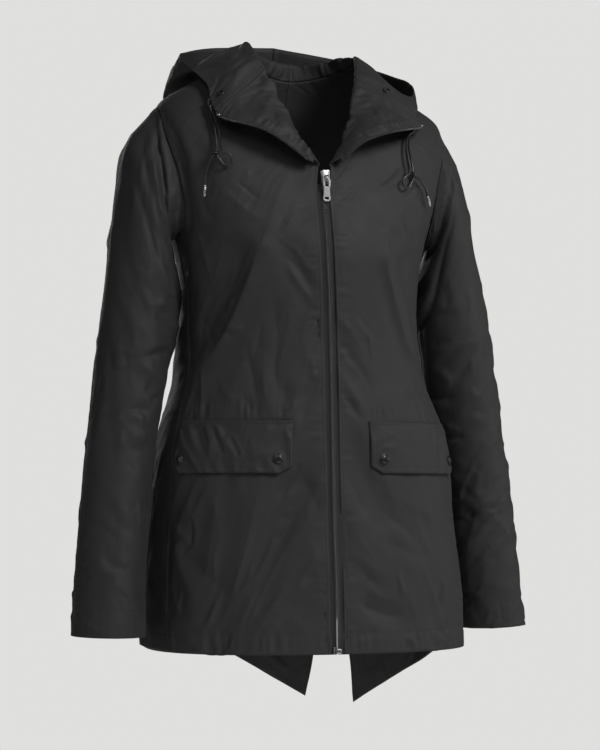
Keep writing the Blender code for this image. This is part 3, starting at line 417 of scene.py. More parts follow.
# torso surface: rows of level, heights at front, side and back, middle, half widths, depths and roundness
torso = {
    "rings": np.array([
        (-0.810, -0.810, -0.810, -0.810, 0.006, 0.201, 0.204, 0.150, 0.142, 2.3),
        (-0.714, -0.714, -0.714, -0.714, 0.006, 0.198, 0.199, 0.148, 0.138, 2.3),
        (-0.633, -0.633, -0.633, -0.633, 0.006, 0.196, 0.196, 0.144, 0.134, 2.3),
        (-0.555, -0.555, -0.555, -0.555, 0.005, 0.192, 0.188, 0.138, 0.130, 2.3),
        (-0.480, -0.480, -0.480, -0.480, 0.005, 0.188, 0.182, 0.133, 0.124, 2.3),
        (-0.440, -0.440, -0.440, -0.440, 0.005, 0.181, 0.174, 0.130, 0.118, 2.3),
        (-0.383, -0.383, -0.383, -0.383, 0.005, 0.165, 0.150, 0.126, 0.103, 2.3),
        (-0.330, -0.330, -0.330, -0.330, 0.004, 0.158, 0.143, 0.125, 0.096, 2.3),
        (-0.284, -0.284, -0.284, -0.284, 0.002, 0.153, 0.142, 0.128, 0.097, 2.3),
        (-0.237, -0.237, -0.237, -0.237, -0.001, 0.155, 0.150, 0.131, 0.102, 2.3),
        (-0.205, -0.215, -0.205, -0.205, -0.002, 0.162, 0.160, 0.129, 0.105, 2.3),
        (-0.128, -0.185, -0.128, -0.140, -0.002, 0.182, 0.180, 0.120, 0.107, 2.3),
        (-0.052, -0.160, -0.052, -0.070, -0.002, 0.182, 0.180, 0.113, 0.096, 2.2),
        (-0.012, -0.145, -0.012, -0.022, 0.000, 0.128, 0.124, 0.110, 0.080, 2.0),
        (0.026, -0.131, 0.026, 0.012, 0.002, 0.079, 0.072, 0.108, 0.066, 1.75),
    ]),
    "hem": -0.7095,
    "armpit": -0.205,
    "shoulder": -0.052,
    "neck": 0.026,
    "lift": {right: 0.009, left: 0.0},
    "liftFrom": -0.20,
    "liftSpan": 0.14,
    "zipHalf": 0.0078,
    "sideSeam": (69.0, 84.0),
    "sideSeamLevels": (-0.46, -0.22),
    "armholeFront": 22.0,
    "armholeBack": 26.0,
    "shoulderSeam": 90.0,
    "tailDrop": {right: 0.0765, left: 0.0865},
    "tailWidth": 0.150,
    "ventTop": -0.56,
    "ventSpan": 75.0,
    "vent": np.array([  # level, swing of the right and left edges
        (-0.800, 0.036, 0.105), (-0.712, 0.050, 0.093), (-0.640, 0.032, 0.052), (-0.560, 0.0, 0.0),
    ]),
    "creases": [  # side, angle, level, to angle, to level, height, width: the solids' own large folds
        (right, 28.0, -0.228, 58.0, -0.374, 0.0050, 0.022), (right, 40.0, -0.240, 68.0, -0.350, -0.0055, 0.028),
        (right, 15.6, -0.231, 5.0, -0.290, -0.0030, 0.018), (right, 10.0, -0.515, 26.0, -0.630, -0.0050, 0.020),
        (right, 46.0, -0.080, 60.0, -0.200, -0.0040, 0.022), (left, 30.0, -0.240, 50.0, -0.335, 0.0050, 0.020),
        (left, 42.0, -0.250, 62.0, -0.330, -0.0045, 0.024), (left, 4.0, -0.470, 18.0, -0.550, -0.0040, 0.018),
        (left, 7.0, -0.648, 24.0, -0.672, -0.0030, 0.018), (right, 150.0, -0.250, 138.0, -0.420, -0.0050, 0.030),
        (left, 146.0, -0.240, 136.0, -0.400, -0.0050, 0.030), (right, 166.0, -0.340, 158.0, -0.550, -0.0040, 0.026),
        (left, 164.0, -0.330, 156.0, -0.530, -0.0040, 0.026),
    ],
    "creaseRadius": 0.15,
    "creaseFade": 9.0,
}


def torsoRing(level):
    return blend(torso["rings"][:, 0], level) @ torso["rings"][:, 1:]


def torsoPoints(side, angle, level):
    angle, level = together(angle, level)
    ring = torsoRing(level)
    zFront, zSide, zBack, middle, halfRight, halfLeft, front, back, roundness = np.moveaxis(ring, -1, 0)
    forward = np.cos(np.radians(angle))
    outward = np.maximum(np.sin(np.radians(angle)), 0.0)
    half = halfRight if side == right else halfLeft
    power = 2 / roundness
    x = middle + side * half * outward ** power
    y = -np.sign(forward) * np.where(forward > 0, front, back) * np.abs(forward) ** power
    z = mix(zSide, np.where(forward > 0, zFront, zBack), forward * forward)
    z = z + torso["lift"][side] * outward * outward * smooth((level - torso["liftFrom"]) / torso["liftSpan"])
    x = x + ventEdge(side, level) * smooth((angle - 180 + torso["ventSpan"]) / torso["ventSpan"])
    fold = creaseHeights(side, angle, level)
    return np.stack([x + side * outward * fold, y - forward * fold, z], axis=-1)


def creaseHeights(side, angle, level):
    height = np.zeros_like(angle)
    here = np.stack([np.radians(angle) * torso["creaseRadius"], level], axis=-1)
    for row in torso["creases"]:
        if row[0] != side:
            continue
        start = np.array((math.radians(row[1]) * torso["creaseRadius"], row[2]))
        run = np.array((math.radians(row[3]) * torso["creaseRadius"], row[4])) - start
        share = np.clip((here - start) @ run / (run @ run), 0.0, 1.0)
        away = np.linalg.norm(here - start - share[..., None] * run, axis=-1) / row[6]
        height = height + row[5] * np.exp(-away * away)
    return height * smooth(angle / torso["creaseFade"]) * smooth((180 - angle) / torso["creaseFade"])


def ventEdge(side, level):
    swing = blend(torso["vent"][:, 0], level) @ torso["vent"][:, 1 if side == right else 2]
    return np.where(level >= torso["ventTop"], 0.0, swing)


def torsoNormals(side, angle, level):
    angle, level = together(angle, level)
    angle = np.clip(angle, 0.5, 179.5)
    around = torsoPoints(side, angle + 0.5, level) - torsoPoints(side, angle - 0.5, level)
    climb = torsoPoints(side, angle, level + 0.002) - torsoPoints(side, angle, level - 0.002)
    return unit(np.cross(around, climb) * side)


def besideFront(side, level, reach):  # angle at which the skin is this far from the centre front
    ring = torsoRing(level)
    half = ring[..., 4] if side == right else ring[..., 5]
    return np.degrees(np.arcsin((reach / half) ** (ring[..., 8] / 2)))


def sideSeam(level):
    low, high = torso["sideSeamLevels"]
    return mix(*torso["sideSeam"], smooth((level - low) / (high - low)))


def outerAngle(level, reach):  # where a panel ends: side seam, armhole or shoulder seam
    low, high = torso["armpit"], torso["shoulder"]
    across = (level - (low + high) / 2) / ((high - low) / 2)
    centre = mix(torso["sideSeam"][1], torso["shoulderSeam"], (level - low) / (high - low))
    armhole = centre + reach * np.sqrt(np.maximum(1 - across * across, 0.0))
    return np.where(level <= low, sideSeam(level), np.where(level < high, armhole, torso["shoulderSeam"]))


def tailLevel(side, angle, level):
    reach = torsoPoints(side, angle, torso["hem"]) - torsoPoints(side, 180.0, torso["hem"])
    away = np.hypot(reach[..., 0], reach[..., 1])
    drop = torso["tailDrop"][side] * np.maximum(1 - away / torso["tailWidth"], 0.0)
    return level - drop * smooth((torso["ventTop"] - level) / (torso["ventTop"] - torso["hem"]))


# sleeve surface: rows of x, y, z, half width, half depth and lean, below the armhole
sleeve = {
    "rings": {
        right: np.array([
            (-0.1970, 0.000, -0.160, 0.067, 0.066, 65.0), (-0.1990, 0.000, -0.226, 0.052, 0.062, 38.0),
            (-0.2040, -0.002, -0.290, 0.0465, 0.057, 12.0), (-0.2130, -0.006, -0.350, 0.0455, 0.054, 4.0),
            (-0.2210, -0.012, -0.410, 0.0440, 0.052, 4.0), (-0.2310, -0.022, -0.480, 0.0425, 0.050, 4.0),
            (-0.2400, -0.034, -0.560, 0.0420, 0.049, 3.0), (-0.2455, -0.042, -0.630, 0.0425, 0.050, 2.0),
            (-0.2475, -0.045, -0.690, 0.0440, 0.051, 1.0),
        ]),
        left: np.array([
            (0.1850, 0.004, -0.166, 0.057, 0.066, 68.0), (0.1900, 0.006, -0.226, 0.050, 0.062, 40.0),
            (0.1990, 0.008, -0.290, 0.0465, 0.057, 12.0), (0.2125, 0.010, -0.350, 0.0455, 0.054, 4.0),
            (0.2235, 0.012, -0.410, 0.0440, 0.052, 4.0), (0.2330, 0.014, -0.480, 0.0425, 0.050, 5.0),
            (0.2445, 0.016, -0.560, 0.0415, 0.049, 5.0), (0.2535, 0.018, -0.630, 0.0415, 0.050, 4.0),
            (0.2610, 0.020, -0.690, 0.0410, 0.051, 3.0),
        ]),
    },
    "places": (0.0, 0.10, 0.18, 0.28, 0.385, 0.49, 0.61, 0.75, 0.875, 1.0),
    "gap": 0.0002,  # between the sleeve and the armhole's edge
    "armholeHalf": 0.06,
    "clear": 0.001,
    "underTurns": (85.0, 130.0),
}


def armholePlace(turn):  # angle and level on the armhole's edge, from the shoulder at 0 to the armpit at 180
    low, high = torso["armpit"], torso["shoulder"]
    level = (low + high) / 2 + ((high - low) / 2 - sleeve["gap"]) * np.cos(np.radians(turn))
    across = np.sin(np.radians(turn))
    reach = np.where(across > 0, -torso["armholeFront"], torso["armholeBack"])
    centre = mix(torso["sideSeam"][1], torso["shoulderSeam"], (level - low) / (high - low))
    return centre + reach * (1 - sleeve["gap"] / sleeve["armholeHalf"]) * np.abs(across), level


def sleevePoints(side, turn, along):
    turn, along = together(turn, along)
    angle, level = armholePlace(turn)
    over, under = sleeve["underTurns"]
    clear = sleeve["clear"] * smooth((np.abs(turn) - over) / (under - over))
    stations = [torsoPoints(side, angle, level) + torsoNormals(side, angle, level) * clear[..., None]]
    for x, y, z, halfWidth, halfDepth, lean in sleeve["rings"][side]:
        out = np.cos(np.radians(turn)) * halfWidth
        fore = -np.sin(np.radians(turn)) * halfDepth
        lean = math.radians(lean)
        stations.append(np.stack([x + side * out * math.cos(lean), y + fore, z + out * math.sin(lean)], axis=-1))
    return np.einsum("...n,n...k->...k", blend(sleeve["places"], along), np.array(stations))


def sleeveNormals(side, turn, along):
    turn, along = together(turn, along)
    around = sleevePoints(side, turn + 1, along) - sleevePoints(side, turn - 1, along)
    below, above = np.minimum(along + 0.004, 1.0), np.maximum(along - 0.004, 0.0)
    down = sleevePoints(side, turn, below) - sleevePoints(side, turn, above)
    normal = unit(np.cross(around, down) * side)
    over, under = sleeve["underTurns"]
    share = np.maximum(smooth(along / sleeve["places"][1]), smooth((np.abs(turn) - over) / (under - over)))
    return unit(mix(torsoNormals(side, *armholePlace(turn)), normal, np.maximum(share, 0.5)[..., None]))


# collar sheet: rows of neck angle, stand, then inner, outer and edge points of each section
collar = {
    "folds": {
        right: np.array([
            (5.0, 0.002, -0.010, -0.115, -0.125, -0.011, -0.117, -0.127, -0.012, -0.118, -0.129),
            (20.0, 0.004, -0.030, -0.110, -0.096, -0.036, -0.118, -0.102, -0.043, -0.122, -0.107),
            (34.0, 0.006, -0.050, -0.098, -0.066, -0.062, -0.110, -0.077, -0.076, -0.117, -0.087),
            (52.0, 0.008, -0.074, -0.076, -0.038, -0.096, -0.088, -0.053, -0.121, -0.092, -0.070),
            (72.0, 0.008, -0.088, -0.050, 0.002, -0.108, -0.064, -0.020, -0.130, -0.068, -0.047),
            (92.0, 0.008, -0.094, -0.016, 0.026, -0.112, -0.034, 0.004, -0.132, -0.046, -0.020),
            (106.0, 0.012, -0.112, 0.020, 0.018, -0.158, 0.022, -0.004, -0.152, 0.010, 0.022),
            (126.0, 0.014, -0.104, 0.074, -0.022, -0.158, 0.096, -0.034, -0.131, 0.070, 0.045),
            (152.0, 0.016, -0.056, 0.112, -0.064, -0.100, 0.172, -0.076, -0.082, 0.126, 0.066),
            (180.0, 0.018, 0.002, 0.124, -0.080, 0.002, 0.200, -0.092, 0.002, 0.148, 0.076),
        ]),
        left: np.array([
            (5.0, 0.002, 0.014, -0.115, -0.125, 0.015, -0.117, -0.127, 0.016, -0.118, -0.129),
            (20.0, 0.004, 0.034, -0.110, -0.096, 0.039, -0.117, -0.098, 0.044, -0.120, -0.099),
            (34.0, 0.006, 0.056, -0.097, -0.066, 0.070, -0.109, -0.075, 0.084, -0.114, -0.082),
            (52.0, 0.008, 0.076, -0.074, -0.038, 0.103, -0.086, -0.053, 0.131, -0.084, -0.068),
            (72.0, 0.008, 0.086, -0.048, -0.002, 0.110, -0.058, -0.022, 0.135, -0.056, -0.052),
            (92.0, 0.008, 0.091, -0.016, 0.016, 0.115, -0.032, -0.012, 0.143, -0.036, -0.032),
            (106.0, 0.010, 0.108, 0.020, 0.004, 0.158, 0.022, -0.020, 0.158, 0.026, 0.008),
            (126.0, 0.014, 0.102, 0.074, -0.024, 0.164, 0.096, -0.040, 0.146, 0.074, 0.030),
            (152.0, 0.016, 0.056, 0.112, -0.064, 0.102, 0.170, -0.076, 0.096, 0.126, 0.058),
            (180.0, 0.018, 0.002, 0.124, -0.080, 0.002, 0.200, -0.092, 0.002, 0.148, 0.076),
        ]),
    },
    "places": (0.0, 0.10, 0.34, 0.68, 1.0),
    "lean": 0.5,
}


def collarPoints(side, angle, across):
    angle, across = together(angle, across)
    folds = collar["folds"][side]
    neck = torsoPoints(side, angle, torso["neck"])
    rise = unit(neck - torsoPoints(side, angle, torso["neck"] - 0.006))
    lean = torsoNormals(side, angle, torso["neck"]) * collar["lean"]
    row = blend(folds[:, 0], angle) @ folds[:, 1:]
    stations = [neck, neck + (rise + lean) * row[..., :1], row[..., 1:4], row[..., 4:7], row[..., 7:10]]
    return np.einsum("...n,n...k->...k", blend(collar["places"], across), np.array(stations))


def collarNormals(side, angle, across):
    angle, across = together(angle, across)
    after, before = np.minimum(angle + 0.4, 180.0), np.maximum(angle - 0.4, 5.0)
    along = collarPoints(side, after, across) - collarPoints(side, before, across)
    outer, inner = np.minimum(across + 0.02, 1), np.maximum(across - 0.02, 0)
    over = collarPoints(side, angle, outer) - collarPoints(side, angle, inner)
    normal = unit(np.cross(along, over) * side)
    share = smooth(across / collar["places"][1])
    return unit(mix(torsoNormals(side, angle, torso["neck"]), normal, share[..., None]))


print("surfaces ready")


# folds laid one by one: each runs through its own places on the unrolled cloth
foldForm = {
    "gain": 1.35,  # on the heights as listed
    "step": 0.006,
    "endHeight": 0.25,
    "endShare": 0.3,
    "crest": 0.16,  # rounding of the top, as a share of the width
    "reach": 0.75,  # fall of the sides, as a share of the width
    "dip": 0.28,  # hollow beside the fold, as a share of its height
    "dipPlace": 1.5,
}
clothWall = 0.0012


def foldHeights(u, v, folds, across, along):  # height and width in mm, lean to one side, then places across and along
    height = np.zeros_like(u)
    for rise, width, lean, *places in folds:
        path = smoothPath(np.array(places) * (across, along), foldForm["step"])
        rise, width = foldForm["gain"] * rise / 1000, width / 1000
        low, high = path.min(axis=0) - 4 * width, path.max(axis=0) + 4 * width
        rows, columns = np.where((u > low[0]) & (u < high[0]) & (v > low[1]) & (v < high[1]))
        if not len(rows):
            continue
        here = np.stack([u[rows, columns], v[rows, columns]], axis=-1)
        best, share, away = np.full(len(here), 9.0), np.zeros(len(here)), np.zeros(len(here))
        for k in range(len(path) - 1):
            run = path[k + 1] - path[k]
            t = np.clip((here - path[k]) @ run / (run @ run), 0, 1)
            gap = here - path[k] - t[:, None] * run
            distance = np.hypot(gap[:, 0], gap[:, 1])
            closer = distance < best
            best = np.where(closer, distance, best)
            share = np.where(closer, (k + t) / (len(path) - 1), share)
            away = np.where(closer, distance * np.sign(gap[:, 0] * run[1] - gap[:, 1] * run[0]), away)
        least, span = foldForm["endHeight"], foldForm["endShare"]
        taper = (least + (1 - least) * smooth(share / span)) * (least + (1 - least) * smooth((1 - share) / span))
        wide = width * (0.8 + 0.4 * share)
        crest = foldForm["crest"] * width * (1 - abs(lean))
        reach = foldForm["reach"] * wide * (1 + lean * np.sign(away))
        form = np.exp(-(np.sqrt(away * away + crest * crest) - crest) / reach)
        beside = (away + math.copysign(foldForm["dipPlace"], lean) * wide) / wide
        height[rows, columns] += rise * taper * (form - foldForm["dip"] * np.exp(-beside * beside))
    return height


def smallCreases(row, side, u, v):  # short sharp crinkles: count, direction, strength, seed
    count, ahead, strength, seed = row
    draw = np.random.default_rng(seed + side)
    folds = []
    for k in range(count):
        start = np.array((draw.uniform(u.min(), u.max()), draw.uniform(v.min(), v.max())))
        turn = ahead + draw.normal(0, 0.55)
        run = np.array((math.cos(turn), math.sin(turn))) * draw.uniform(0.012, 0.050)
        bend = np.array((-run[1], run[0])) * draw.uniform(-0.06, 0.06)
        rise = draw.uniform(0.25, 0.75) * draw.choice((-1, 1)) * strength
        width = draw.uniform(3.0, 6.5)
        lean = draw.uniform(0.25, 0.6) * draw.choice((-1, 1))
        folds.append((rise, width, lean, start, start + run / 2 + bend, start + run))
    return foldHeights(u, v, folds, 1.0, 1.0)


def crumple(row, side, u, v):  # sharp broken ridges between shallow hollows: height, size, direction, seed
    height, size, ahead, seed = row
    draw = np.random.default_rng(seed + side).uniform(-1, 1, (64, 64))

    def lattice(x, y):
        col, row = np.floor(x).astype(int), np.floor(y).astype(int)
        a, b = smooth(x - col), smooth(y - row)
        low, high = (mix(draw[(row + k) % 64, col % 64], draw[(row + k) % 64, (col + 1) % 64], a) for k in (0, 1))
        return mix(low, high, b)

    def slope(x, y):
        return np.sqrt(lattice(x, y) ** 2 + 0.0003)

    x = (u * math.cos(ahead) + v * math.sin(ahead)) / (2.2 * size) + 16
    y = (v * math.cos(ahead) - u * math.sin(ahead)) / size + 32
    x, y = x + 0.7 * lattice(x * 0.5 + 9, y * 0.5 + 4), y + 0.7 * lattice(x * 0.5 + 31, y * 0.5 + 17)
    strength = 0.35 + 0.9 * smooth(lattice(x * 0.3 + 3, y * 0.22 + 8) + 0.45)
    return height * strength * (0.5 - slope(x, y) - 0.55 * slope(x * 2.3 + 5, y * 2.3 + 11))


def ripple(u, v, period, seed):  # uneven waves along u, the same on every run
    turn = u * 2 * math.pi / period
    wave = np.sin(turn + 1.3 * np.sin(turn / 3.7 + seed) + seed)
    second = np.sin(turn / 1.73 + 2.1 * seed + 0.9 * np.sin(v * 60 + seed))
    return (0.6 * wave + 0.4 * second) * (0.55 + 0.45 * np.sin(turn / 6.1 + seed * 1.9))


def pucker(row, side, u, v, edge):  # gathers along the sewing: height, period, seed, distance from the edge, reach
    height, period, seed, place, reach = row
    return height * ripple(u, v, period, seed + side) * near(edge - place, reach)


def groove(row, edge):  # dent along the sewing, or a ridge if negative: depth, distance from the edge, reach
    depth, place, reach = row
    return -depth * near(edge - place, reach)


def addWall(piece, thickness):
    wall = piece.modifiers.new("wall", "SOLIDIFY")
    wall.thickness = thickness
    wall.offset = -1.0


def clothPiece(name, points, normals, height, uv, node, wall=clothWall):
    shown = points + normals * height[..., None]
    rows, columns = shown.shape[:2]
    i, j = rows // 2, columns // 2
    flip = np.cross(shown[i, j + 1] - shown[i, j], shown[i + 1, j] - shown[i, j]) @ normals[i, j] < 0
    faces = gridFaces(rows, columns, flip=flip)
    piece = addPiece(name, shown, faces, shellPaint, slot="shell_cloth", uv=uv, nodes=(node,))
    addWall(piece, wall)
    return {"piece": piece, "points": shown, "normals": normals}


flap = {
    "angles": (12.5, 66.0),
    "top": -0.4355,
    "bottom": -0.498,
    "wall": 0.0016,
    "shellWall": 0.0014,
    "clear": (0.0005, 0.0030),
    "chamfer": 0.009,
    "chamferTurn": 4.46,
    "columns": 84,
    "rows": 34,
    "crumple": (0.0030, 0.024, 1.2, 81),
    "small": (12, 1.2, 0.7, 71),
    "topFade": 0.012,
    "pucker": (0.0005, 0.012, 4.0, 0.006, 0.007),
    "edgeGrooves": [(0.0008, 0.0, 0.0016), (0.0003, 0.0055, 0.0015)],
    "topGrooves": [(0.0003, 0.005, 0.0015), (-0.0004, 0.0018, 0.002)],
    "snapGroove": (0.0004, 0.0075, 0.0025),
    "snapFlat": (0.005, 0.006),  # flat round each snap, then the way over which the crinkle returns
    "snapAngles": {"inner": 17.5, "outer": 62.0},
    "snapLevel": -0.481,
    "snapProfile": [  # radius and height of the cap, rim first
        (0.0058, 0.0), (0.0060, 0.0005), (0.0060, 0.0010), (0.0056, 0.00125), (0.0050, 0.0012), (0.0047, 0.0013),
        (0.0045, 0.0017), (0.0038, 0.0021), (0.0026, 0.00235), (0.0012, 0.0025), (0.0002, 0.00252),
    ],
}


body = {
    "columns": {"front": 120, "back": 74},
    "bodyRows": 170,
    "armholeRows": 60,
    "shoulderRows": 30,
    "folds": {  # side and panel: height and width in mm, lean, then angles and levels
        (right, "front"): [
            (4.2, 15, 0.6, (27.4, -0.228), (32.2, -0.258), (36.2, -0.281), (40.2, -0.303), (44.6, -0.327),
             (50.2, -0.348), (58.2, -0.366)),
            (1.0, 5, 0.2, (15.8, -0.221), (11.4, -0.233), (8.2, -0.249), (3.8, -0.267)),
            (1.0, 5, 0.2, (15.4, -0.248), (13.4, -0.263), (10.2, -0.276), (4.2, -0.299)),
            (-1.0, 6, 0.2, (17.8, -0.240), (11.8, -0.252), (7.4, -0.270), (3.8, -0.284)),
            (1.0, 14, -0.2, (38.2, -0.117), (31.0, -0.144), (23.4, -0.179)),
            (-0.9, 9, 0.3, (30.2, -0.087), (25.4, -0.105), (21.0, -0.123)),
            (-1.0, 9, 0.2, (52.2, -0.161), (49.8, -0.176), (47.0, -0.189)),
            (-1.5, 10, 0.3, (23.4, -0.288), (20.6, -0.329), (21.0, -0.375), (17.4, -0.422)),
            (-1.5, 9, -0.3, (34.6, -0.351), (31.4, -0.381), (27.0, -0.414)),
            (1.2, 8, 0.2, (26.2, -0.369), (25.0, -0.402), (20.6, -0.428)),
            (-1.2, 8, 0.2, (16.6, -0.392), (16.2, -0.416)),
            (1.0, 6, 0.3, (47.8, -0.390), (41.8, -0.407), (35.0, -0.414)),
            (-1.2, 5, 0.2, (33.8, -0.408), (28.2, -0.426)),
            (1.0, 5, -0.2, (65.8, -0.399), (67.0, -0.429)),
            (-1.0, 5, 0.2, (53.8, -0.408), (53.0, -0.432)),
            (1.0, 6, 0.2, (6.6, -0.359), (4.6, -0.395)),
            (-5.0, 12, -0.2, (67.8, -0.068), (61.0, -0.084), (60.6, -0.128), (64.6, -0.176), (71.0, -0.215)),
            (-2.0, 14, 0.2, (80.0, -0.270), (73.0, -0.290), (76.0, -0.323), (78.0, -0.362)),
            (1.4, 9, 0.3, (62.2, -0.204), (59.8, -0.236), (58.2, -0.272)),
            (-1.4, 7, 0.2, (64.6, -0.315), (56.6, -0.333), (51.0, -0.344)),
            (-1.5, 8, -0.25, (10.0, -0.444), (7.6, -0.412), (3.8, -0.381)),
            (1.4, 11, 0.3, (45.4, -0.511), (50.5, -0.536), (56.8, -0.558)),
            (-1.2, 9, 0.2, (35.2, -0.506), (39.7, -0.522), (45.3, -0.535)),
            (-2.4, 20, -0.35, (61.0, -0.594), (44.9, -0.620), (31.7, -0.655)),
            (-1.8, 9, -0.25, (23.3, -0.652), (14.9, -0.629), (4.9, -0.610)),
            (1.3, 8, 0.3, (22.2, -0.662), (13.9, -0.640), (4.2, -0.622)),
            (-1.1, 7, -0.35, (9.8, -0.494), (5.7, -0.523), (3.1, -0.553)),
            (1.0, 8, -0.25, (7.2, -0.565), (5.1, -0.605), (3.8, -0.646)),
        ],
        (left, "front"): [
            (2.2, 9, -0.4, (27.0, -0.230), (28.2, -0.255), (31.8, -0.276), (35.8, -0.299), (39.0, -0.317),
             (43.4, -0.341), (49.8, -0.360), (57.4, -0.381)),
            (-1.4, 9, 0.2, (33.0, -0.262), (40.0, -0.300), (47.0, -0.345)),
            (1.0, 5, 0.2, (47.0, -0.240), (52.2, -0.269), (59.0, -0.297)),
            (-1.2, 6, -0.2, (52.6, -0.249), (61.4, -0.272)),
            (1.2, 9, 0.2, (26.2, -0.177), (27.4, -0.236)),
            (1.0, 7, -0.2, (39.4, -0.173), (51.8, -0.231)),
            (1.5, 7, 0.3, (3.0, -0.374), (6.6, -0.396), (11.4, -0.420)),
            (-1.8, 5, 0.3, (3.4, -0.404), (6.6, -0.416), (8.6, -0.434)),
            (-1.5, 8, 0.2, (3.8, -0.344), (8.6, -0.362), (13.0, -0.378), (16.6, -0.401)),
            (1.1, 8, -0.2, (3.0, -0.312), (7.8, -0.327), (12.6, -0.347)),
            (-1.6, 7, 0.2, (5.0, -0.012), (13.8, 0.004), (23.8, 0.010)),
            (-0.9, 6, 0.2, (4.6, -0.089), (9.8, -0.048), (17.4, -0.035)),
            (-1.6, 10, -0.2, (20.2, -0.059), (28.2, -0.047), (37.8, -0.039)),
            (-1.2, 9, 0.2, (32.6, -0.114), (39.8, -0.101)),
            (-1.4, 6, 0.2, (34.6, -0.408), (42.6, -0.396), (56.6, -0.387)),
            (1.0, 5, 0.2, (41.8, -0.401), (40.6, -0.423)),
            (-1.2, 7, -0.25, (3.7, -0.494), (7.2, -0.526), (12.2, -0.556)),
            (-2.0, 7, 0.3, (6.2, -0.602), (8.9, -0.618), (12.9, -0.631)),
            (-2.2, 7, 0.2, (7.2, -0.652), (14.5, -0.663), (22.7, -0.668)),
            (1.6, 7, -0.35, (9.1, -0.635), (14.8, -0.645), (21.2, -0.652)),
            (-1.0, 10, -0.25, (14.2, -0.577), (25.6, -0.591), (37.8, -0.600)),
            (-1.0, 7, 0.3, (2.8, -0.553), (3.1, -0.585), (4.1, -0.617)),
            (-2.0, 10, 0.2, (76.2, -0.230), (70.6, -0.209), (63.3, -0.191)),
            (1.0, 10, -0.35, (23.4, -0.529), (35.4, -0.543), (48.1, -0.552)),
            (-1.0, 6, -0.25, (3.2, -0.692), (8.2, -0.687), (12.8, -0.680)),
        ],
        (right, "back"): [
            (-2.0, 12, -0.25, (112, -0.215), (124, -0.245), (138, -0.268)),
            (1.6, 11, 0.3, (106, -0.262), (120, -0.294), (132, -0.330)),
            (-1.7, 10, 0.2, (98, -0.318), (112, -0.343), (128, -0.362)),
            (-1.4, 12, -0.35, (150, -0.080), (138, -0.112), (128, -0.150)),
            (-1.3, 10, -0.25, (172, -0.300), (160, -0.320), (150, -0.345)),
            (1.2, 11, 0.3, (176, -0.372), (162, -0.385), (148, -0.404)),
            (1.8, 14, 0.2, (120, -0.430), (122, -0.496), (128, -0.560)),
            (-1.8, 13, -0.35, (146, -0.470), (150, -0.545), (150, -0.620)),
            (-1.6, 12, -0.25, (104, -0.500), (106, -0.570), (110, -0.640)),
            (1.1, 9, 0.3, (92, -0.345), (104, -0.374), (116, -0.400)),
            (0.9, 11, 0.2, (166, -0.050), (152, -0.075), (140, -0.105)),
            (-2.4, 12, 0.3, (106, -0.100), (110, -0.150), (116, -0.205)),
        ],
        (left, "back"): [
            (-1.8, 11, -0.25, (114, -0.220), (124, -0.258), (136, -0.290)),
            (1.5, 10, 0.3, (104, -0.276), (117, -0.297), (128, -0.322)),
            (-1.9, 11, 0.2, (96, -0.310), (112, -0.347), (130, -0.378)),
            (-1.2, 13, -0.35, (146, -0.090), (135, -0.128), (126, -0.170)),
            (-1.1, 9, -0.25, (170, -0.318), (161, -0.325), (152, -0.336)),
            (1.4, 12, 0.3, (174, -0.390), (161, -0.407), (150, -0.430)),
            (1.6, 13, 0.2, (124, -0.450), (131, -0.524), (134, -0.600)),
            (-1.5, 12, -0.35, (150, -0.500), (152, -0.556), (156, -0.610)),
            (-1.8, 13, -0.25, (108, -0.480), (110, -0.550), (114, -0.620)),
            (1.0, 9, 0.3, (90, -0.360), (100, -0.391), (112, -0.420)),
            (1.0, 12, 0.2, (164, -0.060), (150, -0.093), (138, -0.130)),
            (-2.2, 11, -0.3, (108, -0.110), (112, -0.160), (114, -0.200)),
        ],
    },
    "swells": [  # right side: height, level, reach, angle, reach
        (0.0035, -0.335, 0.035, 100.0, 22.0), (0.0075, -0.640, 0.110, 102.0, 26.0),
    ],
    "calm": 0.18,  # share of the crinkle left on the chest and shoulders
    "calmLevel": -0.20,
    "calmSpan": 0.14,
    "crumple": {"front": (0.0052, 0.040, -1.15, 11), "back": (0.0052, 0.040, -1.3, 11)},
    "small": {"front": (80, -1.1, 2.4, 11), "back": (80, -0.9, 2.4, 11)},
    "seamFade": 0.012,
    "backFade": 0.014,
    "puckers": {
        "hem": (0.0013, 0.0115, 2.0, 0.013, 0.010),
        "sideSeam": (0.0005, 0.014, 4.0, 0.006, 0.007),
        "zipEdge": (0.0007, 0.0105, 1.0, 0.010, 0.008),
        "flap": (0.0010, 0.0095, 3.0, 0.012, 0.010),
        "backSeam": (0.0004, 0.014, 3.0, 0.007, 0.007),
        "neck": (0.0004, 0.011, 5.0, 0.008, 0.008),
    },
    "grooves": {
        "hem": (0.0006, 0.0225, 0.0022),
        "sideSeam": (0.0007, 0.0, 0.0022),
        "zipEdge": (0.0003, 0.0046, 0.0016),
        "backSeam": (0.0006, 0.0, 0.0022),
    },
}
bodyGrids = {}


def bodyLevels():
    hem, armpit, shoulder, neck = (torso[key] for key in ("hem", "armpit", "shoulder", "neck"))
    lower = mix(hem, armpit, np.linspace(0, 1, body["bodyRows"] + 1)[:-1])
    share = np.linspace(0, 1, body["armholeRows"] + 1)[:-1]
    arm = mix(armpit, shoulder, 0.6 * share + 0.4 * (0.5 - 0.5 * np.cos(np.pi * share)))
    return np.concatenate([lower, arm, mix(shoulder, neck, np.linspace(0, 1, body["shoulderRows"] + 1))])


